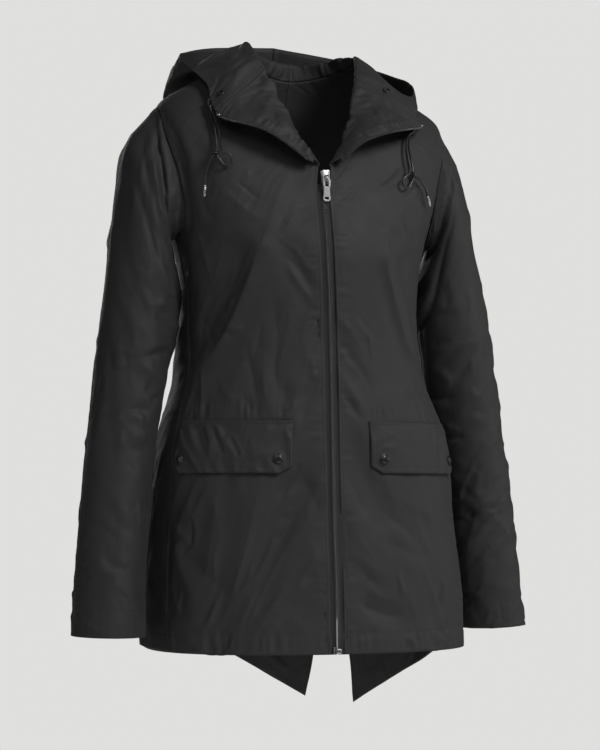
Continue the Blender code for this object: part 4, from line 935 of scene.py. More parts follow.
def torsoDetail(side, panel, angle, level, points):
    radius = torso["creaseRadius"]
    u = np.radians(angle) * radius
    outer, up = arcs(points, 1), arcs(points, 0)
    toEnd = outer[:, -1:] - outer
    toSeam = toEnd if panel == "front" else outer
    puckers, grooves = body["puckers"], body["grooves"]
    height = foldHeights(u, level, body["folds"][side, panel], math.radians(1) * radius, 1.0)
    busy = body["calm"] + (1 - body["calm"]) * smooth((body["calmLevel"] - level) / body["calmSpan"])
    height = height + busy * crumple(body["crumple"][panel], side, outer, up)
    height = height + (0.3 + 0.7 * busy) * smallCreases(body["small"][panel], side, outer, up)
    if side == right:
        for swell, centre, reach, turn, span in body["swells"]:
            height = height + swell * near(level - centre, reach) * near(angle - turn, span)
    height = height * (0.3 + 0.7 * smooth(toSeam / body["seamFade"]))
    if panel == "back":
        height = height * (0.1 + 0.9 * smooth(toEnd / body["backFade"]))
    height = height + pucker(puckers["hem"], side, outer, up, up) + groove(grooves["hem"], up)
    height = height + pucker(puckers["sideSeam"], side, up, u, toSeam) + groove(grooves["sideSeam"], toSeam)
    if panel == "front":
        height = height + pucker(puckers["zipEdge"], side, up, u, outer) + groove(grooves["zipEdge"], outer)
        low, high = flap["angles"]
        inFlap = smooth((angle - low + 2) / 3) * smooth((high + 2 - angle) / 3)
        below, above = level - flap["bottom"] + 0.006, flap["top"] + 0.004 - level
        height = height * (1 - inFlap * smooth(below / 0.008) * smooth(above / 0.006))  # plain under the flap
        height = height + pucker(puckers["flap"], side, outer, up, level - flap["top"]) * inFlap
    else:
        height = height + pucker(puckers["backSeam"], side, up, u, toEnd) + groove(grooves["backSeam"], toEnd)
    height = height + pucker(puckers["neck"], side, outer, up, up[-1:] - up)
    return height * smooth(up / 0.002)


def addBody():
    level = bodyLevels()[:, None]
    for side, word in sideNames.items():
        for panel in ("front", "back"):
            share = np.linspace(0, 1, body["columns"][panel] + 1)[None]
            if panel == "front":
                first = besideFront(side, level, torso["zipHalf"])
                angle = mix(first, outerAngle(level, -torso["armholeFront"]), share)
                row = np.broadcast_to(level, angle.shape)
            else:
                angle = mix(outerAngle(level, torso["armholeBack"]), 180.0, share)
                row = tailLevel(side, angle, np.broadcast_to(level, angle.shape))
            points, normals = torsoPoints(side, angle, row), torsoNormals(side, angle, row)
            if panel == "back":
                normals[:, -1, 0] = 0.0
                normals = unit(normals)
            height = torsoDetail(side, panel, angle, np.broadcast_to(level, angle.shape), points)
            uv = np.stack([arcs(points, 1), arcs(points, 0)], axis=-1)
            name = panel + "_cloth_" + word
            bodyGrids[side, panel] = clothPiece(name, points, normals, height, uv, panel + "_" + word)
    print("body panels made")


addBody()


sleeveCloth = {
    "columns": 60,
    "rows": 180,
    "girth": 0.049,  # radius that unrolls the turn
    "length": 0.56,
    "folds": {  # height and width in mm, lean, then turns and places along; the back half is past 180
        right: [
            (-3.2, 8, 0.3, (43, 0.120), (68, 0.143), (87, 0.173), (103, 0.228)),
            (-4.5, 7, -0.3, (39, 0.018), (71, 0.045), (103, 0.068), (128, 0.112)),
            (-1.5, 5, 0.2, (107, 0.037), (117, 0.036), (128, 0.030)),
            (-1.8, 7, -0.2, (34, 0.068), (73, 0.105), (83, 0.130)),
            (-2.4, 6, 0.3, (118, 0.125), (134, 0.155), (143, 0.190)),
            (2.6, 8, 0.35, (39, 0.033), (84, 0.083), (113, 0.107), (140, 0.125)),
            (2.0, 7, 0.2, (41, 0.006), (77, 0.012), (98, 0.028)),
            (1.6, 7, -0.3, (103, 0.105), (131, 0.122), (150, 0.155)),
            (1.2, 8, 0.2, (60, 0.288), (73, 0.335), (85, 0.375)),
            (-2.6, 6, -0.3, (93, 0.398), (106, 0.395), (123, 0.385), (150, 0.380)),
            (2.0, 8, 0.3, (91, 0.410), (106, 0.425), (127, 0.440), (150, 0.450)),
            (-2.8, 9, -0.2, (108, 0.450), (121, 0.475), (136, 0.492)),
            (1.8, 7, 0.3, (105, 0.473), (117, 0.495), (135, 0.517)),
            (-2.2, 5, 0.35, (74, 0.520), (85, 0.512), (98, 0.510), (118, 0.512)),
            (-1.0, 8, -0.2, (66, 0.542), (79, 0.547), (91, 0.540)),
            (1.3, 8, 0.2, (88, 0.575), (100, 0.562), (124, 0.568)),
            (-1.3, 8, -0.3, (93, 0.590), (110, 0.590), (129, 0.585)),
            (-0.9, 8, 0.2, (64, 0.790), (76, 0.830), (82, 0.802)),
            (-0.9, 6, -0.2, (95, 0.760), (108, 0.750)), (-0.8, 7, 0.2, (106, 0.730), (113, 0.700)),
            (-0.9, 5, 0.2, (117, 0.910), (151, 0.907)),
            (-1.2, 12, 0.3, (47, 0.482), (54, 0.535), (66, 0.585), (70, 0.635)),
            (-1.2, 12, -0.3, (62, 0.682), (74, 0.713), (83, 0.748), (84, 0.795)),
            (1.2, 10, 0.2, (40, 0.480), (34, 0.560), (22, 0.640)),
            (-1.0, 10, 0.2, (20, 0.330), (22, 0.380), (30, 0.430)),
            (-1.6, 9, 0.2, (178, 0.640), (156, 0.648), (130, 0.662)),
            (1.4, 9, -0.2, (182, 0.300), (164, 0.318), (140, 0.322)),
            (-2.0, 10, 0.2, (210, 0.460), (250, 0.444), (288, 0.440)),
            (1.7, 10, -0.3, (204, 0.510), (252, 0.499), (300, 0.500)),
            (-2.0, 10, 0.3, (210, 0.565), (246, 0.583), (284, 0.590)),
            (-1.8, 11, 0.2, (300, 0.080), (294, 0.170), (280, 0.260)),
            (1.6, 11, -0.2, (250, 0.090), (247, 0.180), (234, 0.270)),
            (-1.5, 11, 0.3, (220, 0.350), (264, 0.318), (310, 0.300)),
            (1.2, 11, 0.2, (320, 0.620), (332, 0.690), (336, 0.760)),
            (-1.5, 11, -0.3, (210, 0.720), (254, 0.730), (300, 0.750)),
            (-1.4, 9, 0.2, (214, 0.880), (252, 0.886), (290, 0.900)),
        ],
        left: [
            (-4.2, 7, -0.3, (54, 0.037), (80, 0.060), (99, 0.058), (122, 0.068), (142, 0.090), (167, 0.125)),
            (-4.0, 8, -0.3, (119, 0.128), (122, 0.160), (129, 0.205), (140, 0.250), (165, 0.295), (202, 0.328)),
            (-1.6, 5, 0.2, (124, 0.010), (147, 0.010)), (-1.2, 7, 0.2, (111, 0.217), (116, 0.273)),
            (-1.9, 6, -0.3, (102, 0.365), (127, 0.380), (153, 0.408)),
            (-2.3, 6, 0.3, (64, 0.348), (90, 0.385), (108, 0.413), (123, 0.435), (134, 0.458)),
            (-2.8, 7, -0.2, (182, 0.460), (153, 0.468), (127, 0.468)), (-1.2, 8, 0.2, (40, 0.020), (73, 0.015)),
            (1.8, 8, 0.3, (145, 0.408), (135, 0.425), (126, 0.432)),
            (-1.2, 6, -0.3, (120, 0.508), (105, 0.503), (92, 0.503), (80, 0.515)),
            (1.0, 7, 0.2, (106, 0.465), (96, 0.463), (87, 0.475)),
            (2.0, 7, 0.3, (150, 0.522), (139, 0.537), (122, 0.542)),
            (-3.2, 6, -0.35, (167, 0.550), (142, 0.552), (118, 0.555)),
            (-0.9, 7, 0.2, (96, 0.545), (77, 0.537), (57, 0.537)),
            (-1.5, 9, 0.3, (134, 0.608), (118, 0.618), (105, 0.628), (91, 0.640)),
            (-1.4, 9, -0.2, (137, 0.655), (127, 0.677), (129, 0.698)),
            (-3.6, 7, 0.3, (161, 0.693), (145, 0.703), (132, 0.718), (119, 0.730)),
            (2.0, 8, -0.3, (119, 0.733), (129, 0.758), (139, 0.790), (149, 0.825)),
            (-1.8, 6, 0.2, (164, 0.897), (148, 0.915), (131, 0.922)), (1.0, 6, 0.2, (151, 0.945), (145, 0.978)),
            (1.2, 7, 0.3, (77, 0.745), (64, 0.772), (57, 0.800)),
            (-1.0, 9, -0.2, (114, 0.815), (101, 0.823), (86, 0.820)),
            (1.2, 10, 0.2, (34, 0.560), (24, 0.625), (20, 0.690)),
            (-1.2, 10, -0.2, (24, 0.300), (26, 0.360), (34, 0.420)),
            (-2.1, 10, 0.2, (208, 0.430), (252, 0.410), (294, 0.400)),
            (1.6, 10, -0.3, (210, 0.490), (248, 0.482), (286, 0.480)),
            (-1.9, 10, 0.3, (202, 0.545), (252, 0.558), (302, 0.560)),
            (-1.7, 11, 0.2, (298, 0.090), (292, 0.170), (276, 0.250)),
            (1.7, 11, -0.2, (248, 0.080), (246, 0.180), (236, 0.280)),
            (-1.6, 11, 0.3, (224, 0.330), (266, 0.300), (304, 0.280)),
            (1.3, 11, 0.2, (324, 0.600), (336, 0.670), (338, 0.740)),
            (-1.6, 11, -0.3, (212, 0.740), (254, 0.726), (296, 0.720)),
            (-1.3, 9, 0.2, (210, 0.900), (255, 0.892), (300, 0.890)),
        ],
    },
    "swells": {  # height, turn, reach, along, reach: the inner side against the body
        right: [
            (0.0055, 185.0, 40.0, 0.250, 0.060), (0.0045, 185.0, 40.0, 0.355, 0.045),
            (-0.0020, 178.0, 45.0, 0.540, 0.080),
        ],
        left: [(0.0020, 180.0, 40.0, 0.260, 0.060), (0.0060, 180.0, 45.0, 0.440, 0.075)],
    },
    "crumple": {"front": (0.0042, 0.036, 0.95, 41), "back": (0.0042, 0.036, 0.7, 41)},
    "crumpleShare": (1.15, 0.45),  # at the armhole, and how much less at the cuff
    "small": {"front": (70, 0.5, 2.0, 31), "back": (70, 0.5, 2.0, 36)},
    "seamFade": 0.014,
    "outerFade": 8.0,  # degrees from the outer seam
    "armholeFade": 0.010,
    "cuffStitch": 0.030,
    "puckers": {
        "seam": (0.0003, 0.017, 2.0, 0.006, 0.006),
        "armhole": (0.0008, 0.014, 1.0, 0.010, 0.012),
        "cuff": (0.0007, 0.011, 6.0, 0.018, 0.013),
    },
    "grooves": {
        "seam": (0.0006, 0.0, 0.0022),
        "armhole": (0.0009, 0.0, 0.0025),
        "armholeRidge": (-0.0011, 0.009, 0.006),
        "cuff": (0.0005, 0.030, 0.0022),
    },
}
sleeveGrids = {}


def sleeveDetail(side, half, around, along, u, v, points):
    fromOuter = np.minimum(around, 360 - around)
    girth, length = sleeveCloth["girth"], sleeveCloth["length"]
    height = foldHeights(u, v, sleeveCloth["folds"][side], math.radians(1) * girth, length)
    most, less = sleeveCloth["crumpleShare"]
    fine = (most - less * along) * crumple(sleeveCloth["crumple"][half], side, u, v)
    fine = fine + smallCreases(sleeveCloth["small"][half], side, u, v)
    toSeam = np.radians(np.minimum(fromOuter, 180 - fromOuter)) * girth
    height = height * smooth(fromOuter / sleeveCloth["outerFade"])
    height = height + fine * smooth(toSeam / sleeveCloth["seamFade"])  # both halves meet at their seams
    for swell, centre, reach, place, span in sleeveCloth["swells"][side]:
        height = height + swell * near(around - centre, reach) * near(along - place, span)
    down = arcs(points, 0)
    toCuff = down[-1:] - down
    puckers, grooves = sleeveCloth["puckers"], sleeveCloth["grooves"]
    height = height * smooth(down / sleeveCloth["armholeFade"])
    height = height + groove(grooves["seam"], toSeam) + pucker(puckers["seam"], side, v, u, toSeam)
    height = height + groove(grooves["armhole"], down) + groove(grooves["armholeRidge"], down)
    height = height + pucker(puckers["armhole"], side, u, v, down)
    return height + groove(grooves["cuff"], toCuff) + pucker(puckers["cuff"], side, u, v, toCuff)


def addSleeves():
    along = np.linspace(0, 1, sleeveCloth["rows"] + 1)[:, None]
    for side, word in sideNames.items():
        for half, first, last in (("front", 0.0, 180.0), ("back", -180.0, 0.0)):
            turn = np.linspace(first, last, sleeveCloth["columns"] + 1)[None]
            points, normals = sleevePoints(side, turn, along), sleeveNormals(side, turn, along)
            around = turn if half == "front" else turn + 360
            u = np.broadcast_to(np.radians(around) * sleeveCloth["girth"], points.shape[:2])
            v = np.broadcast_to(along * sleeveCloth["length"], points.shape[:2])
            height = sleeveDetail(side, half, around, along, u, v, points)
            name, node = "sleeve_" + half + "_cloth_" + word, "sleeve_" + half + "_" + word
            sleeveGrids[side, half] = clothPiece(name, points, normals, height, np.stack([u, v], axis=-1), node)
    print("sleeves made")


addSleeves()


collarCloth = {
    "seam": {right: 60.0, left: 60.26},  # neck angle of the seam between lapel and hood
    "first": {right: 7.58, left: 8.22},
    "lapel": {"rows": 72, "columns": 52, "crumple": (0.0040, 0.017, 1.35, 61), "small": (30, 0.9, 1.2, 56)},
    "hood": {"rows": 112, "columns": 86, "crumple": (0.0030, 0.032, 1.35, 61), "small": (70, 0.9, 1.2, 55)},
    "seamFade": 0.012,
    "puckers": {"neck": (0.0008, 0.0095, 3.0, 0.010, 0.010), "rim": (0.0011, 0.0085, 7.0, 0.010, 0.008)},
    "grooves": {
        "neck": (0.0005, 0.0045, 0.002),
        "seam": (0.0005, 0.0, 0.002),
        "rim": (0.0004, 0.014, 0.002),
        "centre": (0.0006, 0.0, 0.0025),
    },
    "scale": (0.11 * math.pi / 180, 0.11),  # metres of cloth for a degree round the neck and for the whole width
    "lapelFolds": {  # height and width in mm, lean, then neck angles and places across
        right: [
            (-1.4, 7, 0.3, (50, 0.10), (44, 0.32), (40, 0.55)), (1.0, 8, -0.2, (56, 0.20), (53, 0.50), (52, 0.80)),
            (1.0, 8, 0.2, (30, 0.15), (38, 0.42), (44, 0.70)),
        ],
        left: [
            (-1.3, 7, 0.3, (52, 0.10), (46, 0.35), (42, 0.60)), (1.1, 8, -0.2, (57, 0.25), (53, 0.55), (50, 0.85)),
            (0.9, 8, 0.2, (32, 0.10), (37, 0.38), (40, 0.65)),
        ],
    },
    "hoodFolds": {
        right: [
            (-1.6, 8, 0.3, (66, 0.12), (70, 0.36), (72, 0.60)), (1.8, 10, -0.3, (78, 0.15), (82, 0.42), (84, 0.70)),
            (-2.6, 12, 0.2, (96, 0.20), (101, 0.40), (104, 0.60)),
            (-2.4, 14, -0.2, (118, 0.30), (122, 0.46), (124, 0.62)),
            (2.2, 15, 0.3, (140, 0.25), (146, 0.40), (150, 0.55)),
            (-2.4, 14, -0.3, (112, 0.62), (136, 0.70), (160, 0.74)),
            (1.6, 12, 0.2, (150, 0.84), (164, 0.83), (176, 0.80)),
            (-2.0, 14, 0.2, (164, 0.20), (167, 0.40), (168, 0.60)),
            (1.2, 9, -0.2, (100, 0.86), (116, 0.88), (132, 0.88)),
        ],
        left: [
            (-1.5, 8, 0.3, (64, 0.12), (68, 0.36), (70, 0.60)), (1.6, 10, -0.3, (76, 0.15), (82, 0.44), (86, 0.72)),
            (-2.4, 12, 0.2, (98, 0.20), (103, 0.38), (106, 0.55)),
            (2.2, 14, -0.2, (120, 0.28), (125, 0.44), (128, 0.60)),
            (-2.4, 15, 0.3, (138, 0.25), (143, 0.42), (146, 0.58)),
            (-2.2, 14, -0.3, (114, 0.66), (136, 0.71), (158, 0.72)),
            (1.5, 12, 0.2, (148, 0.86), (162, 0.85), (174, 0.82)),
            (1.8, 14, 0.2, (162, 0.22), (165, 0.41), (166, 0.60)),
            (-1.2, 9, -0.2, (102, 0.84), (116, 0.88), (130, 0.90)),
        ],
    },
}
collarGrids = {}


def collarDetail(side, name, angle, across, u, v):
    part, puckers, grooves = collarCloth[name], collarCloth["puckers"], collarCloth["grooves"]
    around, over = collarCloth["scale"]
    flatU, flatV = np.broadcast_to(angle * around, u.shape), np.broadcast_to(across * over, v.shape)
    height = foldHeights(flatU, flatV, collarCloth[name + "Folds"][side], around, over)
    fine = crumple(part["crumple"], side, u, v) + smallCreases(part["small"], side, u, v)
    toEnd, toRim = u[-1:] - u, v[:, -1:] - v
    toSeam = toEnd if name == "lapel" else np.minimum(u, toEnd)
    height = height + fine * smooth(toSeam / collarCloth["seamFade"])
    height = height + pucker(puckers["neck"], side, u, v, v) * smooth(v / 0.004)
    height = height + groove(grooves["neck"], v) + groove(grooves["seam"], toSeam)
    height = height + pucker(puckers["rim"], side, u, v, toRim) + groove(grooves["rim"], toRim)
    if name == "hood":
        height = height + groove(grooves["centre"], toEnd)
    return height * smooth(v / 0.002) * (0.4 + 0.6 * smooth(toRim / 0.004))


def addCollar():
    for side, word in sideNames.items():
        seam = collarCloth["seam"][side]
        for name, first, last in (("lapel", collarCloth["first"][side], seam), ("hood", seam, 180.0)):
            angle = np.linspace(first, last, collarCloth[name]["rows"] + 1)[:, None]
            across = np.linspace(0, 1, collarCloth[name]["columns"] + 1)[None]
            points, normals = collarPoints(side, angle, across), collarNormals(side, angle, across)
            if name == "hood":
                normals[-1, :, 0] = 0.0
                normals = unit(normals)
            u, v = arcs(points, 0), arcs(points, 1)
            height = collarDetail(side, name, angle, across, u, v)
            title, node, uv = name + "_cloth_" + word, name + "_" + word, np.stack([u, v], axis=-1)
            collarGrids[side, name] = clothPiece(title, points, normals, height, uv, node)
    print("lapels and hood made")


addCollar()


flapGrids = {}


def flapSkin(side, angle, level):
    share = np.clip((level - flap["bottom"]) / (flap["top"] - flap["bottom"]), 0, 1)
    normal = torsoNormals(side, angle, level)
    clear = mix(flap["clear"][1], flap["clear"][0], share)
    return torsoPoints(side, angle, level) + normal * (clear + flap["wall"])[..., None], normal


def addFlaps():
    for side, word in sideNames.items():
        first, last = flap["angles"]
        angle = np.linspace(first, last, flap["columns"] + 1)[None]
        end = np.minimum(angle - first, last - angle)
        bottom = flap["bottom"] + flap["chamfer"] * np.clip(1 - end / flap["chamferTurn"], 0, 1)
        level = mix(bottom, flap["top"], np.linspace(0, 1, flap["rows"] + 1)[:, None])
        points, normals = flapSkin(side, np.broadcast_to(angle, level.shape), level)
        snaps = {
            place: [row[0] for row in flapSkin(side, np.array([turn]), np.array([flap["snapLevel"]]))]
            for place, turn in flap["snapAngles"].items()
        }

        u, v = arcs(points, 1), arcs(points, 0)
        edge = np.minimum(np.minimum(u, u[:, -1:] - u), v)
        toTop = v[-1:] - v
        height = crumple(flap["crumple"], side, u, v) * smooth(toTop / flap["topFade"])
        height = height + smallCreases(flap["small"], side, u, v)
        height = height + pucker(flap["pucker"], side, u, v, v)
        height = height + sum(groove(row, edge) for row in flap["edgeGrooves"])
        height = height + sum(groove(row, toTop) for row in flap["topGrooves"])
        flat, back = flap["snapFlat"]
        for centre, axis in snaps.values():
            away = np.linalg.norm(points - centre, axis=-1)
            height = height * smooth((away - flat) / back) + groove(flap["snapGroove"], away)
        uv = np.stack([u, v], axis=-1)
        name, node = "flap_cloth_" + word, "pocket_flap_" + word
        flapGrids[side] = clothPiece(name, points, normals, height, uv, node, wall=flap["shellWall"])
        for place, (centre, axis) in snaps.items():
            shape = turned(flap["snapProfile"], centre + axis * 0.0001, axis, 40)
            name, node = "snap_cap_" + place + "_" + word, "snap_" + place + "_" + word
            addPiece(name, *shape, enamelPaint, slot="snap_enamel", nodes=(node,))
    print("flaps and snaps made")


addFlaps()


# zip: closed chain, tapes, open edges along the lapels, slider, pull and box
zipper = {
    "chainTop": -0.1495,
    "chainBottom": -0.7022,
    "chainHalf": 0.0034,
    "chainSink": 0.0003,
    "pitch": 0.00128,  # between neighbouring teeth, which come from the two sides in turn
    "edgePitch": 0.00256,
    "toothAcross": (-0.0033, -0.0021, -0.0011, -0.0002, 0.0005, 0.0009),
    "toothHalfHeight": (0.00046, 0.00048, 0.00034, 0.00050, 0.00046, 0.00026),
    "toothHalfDepth": (0.0008, 0.0011, 0.0010, 0.0011, 0.0010, 0.0007),
    "toothSides": 8,
    "tapeReach": 0.0008,
    "tapeDepth": 0.0019,
    "tapeWall": 0.0009,
    "tapeUnder": 0.3 / 11,  # share of the front that lies over the tape
    "tapeRidge": (-0.0006, 0.0026, 0.0009),
    "edgeBead": 0.0012,
    "edgeEnd": 57.0,
    "edgeTooth": 0.0022,
    "edgeStop": 0.0019,
    "sliderCentre": (0.00178, -0.11006, -0.141),
    "shieldHalf": [  # half width and height of the slider's plates
        (0.0030, -0.0085), (0.0037, -0.0078), (0.0040, -0.0040), (0.0042, 0.0010),
        (0.0049, 0.0042), (0.0050, 0.0070), (0.0043, 0.0083), (0.0026, 0.0085),
    ],
    "shields": [(-0.0035, -0.0021, 0.0005), (0.0021, 0.0035, 0.0005)],  # front, back, bevel
    "divider": ([(0.0016, 0.0080), (0.0005, 0.0020), (-0.0005, 0.0020), (-0.0016, 0.0080)], -0.0024, 0.0024, 0.0002),
    "rail": [(0.0034, -0.0036, -0.0074), (0.0036, -0.0037, 0.0), (0.0042, -0.0037, 0.0050), (0.0041, -0.0036, 0.0078)],
    "railWire": 0.00085,
    "flange": ([(0.0040, -0.0080), (0.0040, -0.0005), (0.0031, -0.0005), (0.0029, -0.0080)], -0.0024, -0.0008, 0.0003),
    "bridgeFoot": -0.0032,
    "bridgeReach": 0.0080,
    "bridgeRise": (0.0011, 0.0043),  # middle above the hinge, and half the height
    "bridgeWire": 0.0009,
    "hinge": (0.001778, -0.117857, -0.145),
    "tabThickness": 0.0016,
    "tabBevel": 0.00028,
    "tabOutline": [  # half width, height from the hinge line
        (0.0, 0.0014), (0.0026, 0.0014), (0.0041, 0.0004), (0.0046, -0.0020), (0.0046, -0.0072), (0.0042, -0.0092),
        (0.0038, -0.0104), (0.0039, -0.0150), (0.0041, -0.0190), (0.0045, -0.0212), (0.0045, -0.0238),
        (0.0036, -0.0258),
        (0.0020, -0.0266), (0.0, -0.0266),
    ],
    "tabHoles": [(0.0021, -0.0011, -0.0085), (0.0026, -0.0212, -0.0243)],  # half width, top, bottom
    "tabHoleCorner": 0.0011,
    "blocks": [  # box and pin: centre, size, corner
        ((0.0068, -0.14882, -0.7058), (0.0072, 0.0046, 0.0060), 0.0012),
        ((0.0016, -0.1490, -0.7048), (0.0014, 0.0030, 0.0080), 0.0006),
    ],
    "blockBevel": 0.0006,
}
heights = np.linspace(torso["hem"], torso["neck"], 1600)
frontHeights = torsoPoints(right, np.full_like(heights, 1.0), heights)[:, 2]


def frontLevel(z):
    return np.interp(z, frontHeights, heights)


def chainFrame(z):  # centre of the chain, and its across, out and up directions
    level = frontLevel(z)
    edges = [(side, besideFront(side, level, zipper["chainHalf"]), level) for side in (right, left)]
    centre = sum(torsoPoints(*edge) for edge in edges) / 2
    out = unit(sum(torsoNormals(*edge) for edge in edges))
    up = unit(np.gradient(centre, axis=0))
    return centre, unit(np.cross(up, -out)), out, up


def toothShape():
    bend = circle(zipper["toothSides"]) + math.pi / zipper["toothSides"]
    out, up = (np.sign(wave) * np.abs(wave) ** 0.6 for wave in (np.cos(bend), np.sin(bend)))
    sizes = list(zip(zipper["toothAcross"], zipper["toothHalfHeight"], zipper["toothHalfDepth"]))
    rows = [np.stack([np.full_like(bend, x), out * depth, up * height], axis=-1) for x, height, depth in sizes]
    return np.concatenate(rows), cappedFaces(len(rows), len(bend))


def addTeeth(heap, centres, across, out, up):
    points, faces = toothShape()
    flipped = [face[::-1] for face in faces]
    for c, a, o, u in zip(centres, across, out, up):
        mirrored = np.dot(np.cross(a, o), u) < 0
        heap.add(c + points[:, :1] * a + points[:, 1:2] * o + points[:, 2:] * u, flipped if mirrored else faces)


def slab(outline, front, back, bevel):  # outline in x and z, pushed through in y with softened edges
    outline = np.asarray(outline, float)
    ahead = unit(np.roll(outline, -1, axis=0) - np.roll(outline, 1, axis=0))
    inward = np.stack([-ahead[:, 1], ahead[:, 0]], axis=-1)
    area = np.sum(outline[:, 0] * np.roll(outline[:, 1], -1) - np.roll(outline[:, 0], -1) * outline[:, 1])
    inward = inward if area > 0 else -inward
    ease = np.array([0.0, 0.3, 1.0]) * bevel
    rows = []
    for y, inset in zip((*(front + ease), *(back - ease[::-1])), (1.0, 0.3, 0.0, 0.0, 0.3, 1.0)):
        ring = outline + inward * bevel * inset
        rows.append(np.stack([ring[:, 0], np.full(len(ring), y), ring[:, 1]], axis=-1))
    n = len(outline)
    last = (len(rows) - 1) * n
    faces = [tuple(face) for face in gridFaces(len(rows), n, wrapColumns=True, flip=area > 0)]
    caps = [tuple(range(n)), tuple(range(last + n - 1, last - 1, -1))]
    return np.concatenate(rows), faces + (caps if area > 0 else [cap[::-1] for cap in caps])


def roundedBox(width, height, radius, steps=4):  # corner-rounded rectangle about the origin
    points = []
    for sx, sz, start in ((1, 1, 0), (-1, 1, 90), (-1, -1, 180), (1, -1, 270)):
        for k in range(steps + 1):
            turn = math.radians(start + 90 * k / steps)
            x = sx * (width / 2 - radius) + radius * math.cos(turn)
            points.append((x, sz * (height / 2 - radius) + radius * math.sin(turn)))
    return np.array(points)


def addChain():
    z = np.arange(zipper["chainBottom"], zipper["chainTop"], zipper["pitch"])
    centre, across, out, up = chainFrame(z)
    turn = np.where(np.arange(len(z)) % 2 == 0, 1.0, -1.0)[:, None]
    heap = Heap()
    addTeeth(heap, centre - out * zipper["chainSink"], across * turn, out, up)
    heap.piece("zip_teeth_closed", teethPaint, slot="zip_teeth", nodes=("zip_chain",))
    for side, word in sideNames.items():
        addTape(side, word)
        addOpenEdge(side, word)
    print("zip chain, tapes and edges made")


def addTape(side, word):
    level = frontLevel(np.linspace(torso["hem"], zipper["chainTop"], 260))[:, None]
    inner = besideFront(side, level, zipper["tapeReach"])
    first = besideFront(side, level, torso["zipHalf"])
    last = first + (outerAngle(level, -torso["armholeFront"]) - first) * zipper["tapeUnder"]
    shown = mix(inner, first, np.linspace(0, 1, 7)[None])[:, :-1]
    angle = np.concatenate([shown, mix(first, last, np.linspace(0, 1, 3)[None])], axis=1)
    row = np.broadcast_to(level, angle.shape)
    normals = torsoNormals(side, angle, row)
    points = torsoPoints(side, angle, row) - normals * zipper["tapeDepth"]
    points = points + normals * groove(zipper["tapeRidge"], arcs(points, 1))[..., None]
    faces = gridFaces(*points.shape[:2], flip=side == left)
    uv = np.stack([arcs(points, 1), arcs(points, 0)], axis=-1)
    name, node = "zip_tape_cloth_" + word, "zip_tape_" + word
    tape = addPiece(name, points, faces, tapePaint, slot="zip_tape", uv=uv, nodes=(node,))
    addWall(tape, zipper["tapeWall"])


def addOpenEdge(side, word):  # a bead along the lapel's edge with teeth and a metal end
    angle = np.linspace(collarCloth["first"][side] + 1.5, zipper["edgeEnd"], 70)
    free = collarPoints(side, angle, 1.0)
    away = unit(free - collarPoints(side, angle, 0.98))
    bead = free + away * 0.0008 - collarNormals(side, angle, 0.999) * 0.0006
    shape = tubePoints(bead, zipper["edgeBead"], 10)
    addPiece("zip_bead_" + word, *shape, tapePaint, slot="zip_tape", nodes=("zip_edge_" + word,))
    lengths = arcs(bead)
    at = np.arange(0.004, lengths[-1] - 0.006, zipper["edgePitch"])
    run = unit(pickAlong(at, lengths, np.gradient(bead, axis=0)))
    reach = unit(pickAlong(at, lengths, away))
    heap = Heap()
    centres = pickAlong(at, lengths, bead) + reach * zipper["edgeTooth"]
    addTeeth(heap, centres, reach, unit(np.cross(run, reach)), run)
    heap.piece("zip_teeth_" + word, teethPaint, slot="zip_teeth")
    end = smoothPath(bead[-6:], 0.0004)
    swell = zipper["edgeStop"] * np.sqrt(np.clip(1 - (2 * np.linspace(0, 1, len(end)) - 1) ** 4, 0.05, 1))
    addPiece("zip_end_" + word, *tubePoints(end, swell[:, None], 12), steelPaint, slot="steel")


def addSlider():
    centre = np.array(zipper["sliderCentre"])
    half = np.array(zipper["shieldHalf"])
    shield = np.concatenate([half, half[::-1] * (-1, 1)])
    shapes = [slab(shield, *depths) for depths in zipper["shields"]]
    shapes.append(slab(*zipper["divider"]))
    flange, *depths = zipper["flange"]
    for sign in (-1, 1):  # rails at the sides, and the flanges that close round the tape
        rail = smoothPath(np.array(zipper["rail"]) * (sign, 1, 1), 0.0006)
        shapes.append(tubePoints(rail, zipper["railWire"], 10))
        shapes.append(slab(np.array(flange) * (sign, 1), *depths))
    heap = Heap()
    for points, faces in shapes:
        heap.add(points + centre, faces)
    heap.piece("slider_body", steelPaint, slot="steel", nodes=("zip_slider",))

    turn = np.linspace(0, math.pi, 41)
    middle, rise = zipper["bridgeRise"]
    y = centre[1] + zipper["bridgeFoot"] - zipper["bridgeReach"] * np.abs(np.sin(turn)) ** 0.6
    arch = np.stack([np.full_like(turn, centre[0]), y, zipper["hinge"][2] + middle + rise * np.cos(turn)], axis=-1)
    shape = tubePoints(smoothPath(arch, 0.0005), zipper["bridgeWire"], 12)
    addPiece("slider_bridge", *shape, steelPaint, slot="steel", nodes=("zip_bridge",))


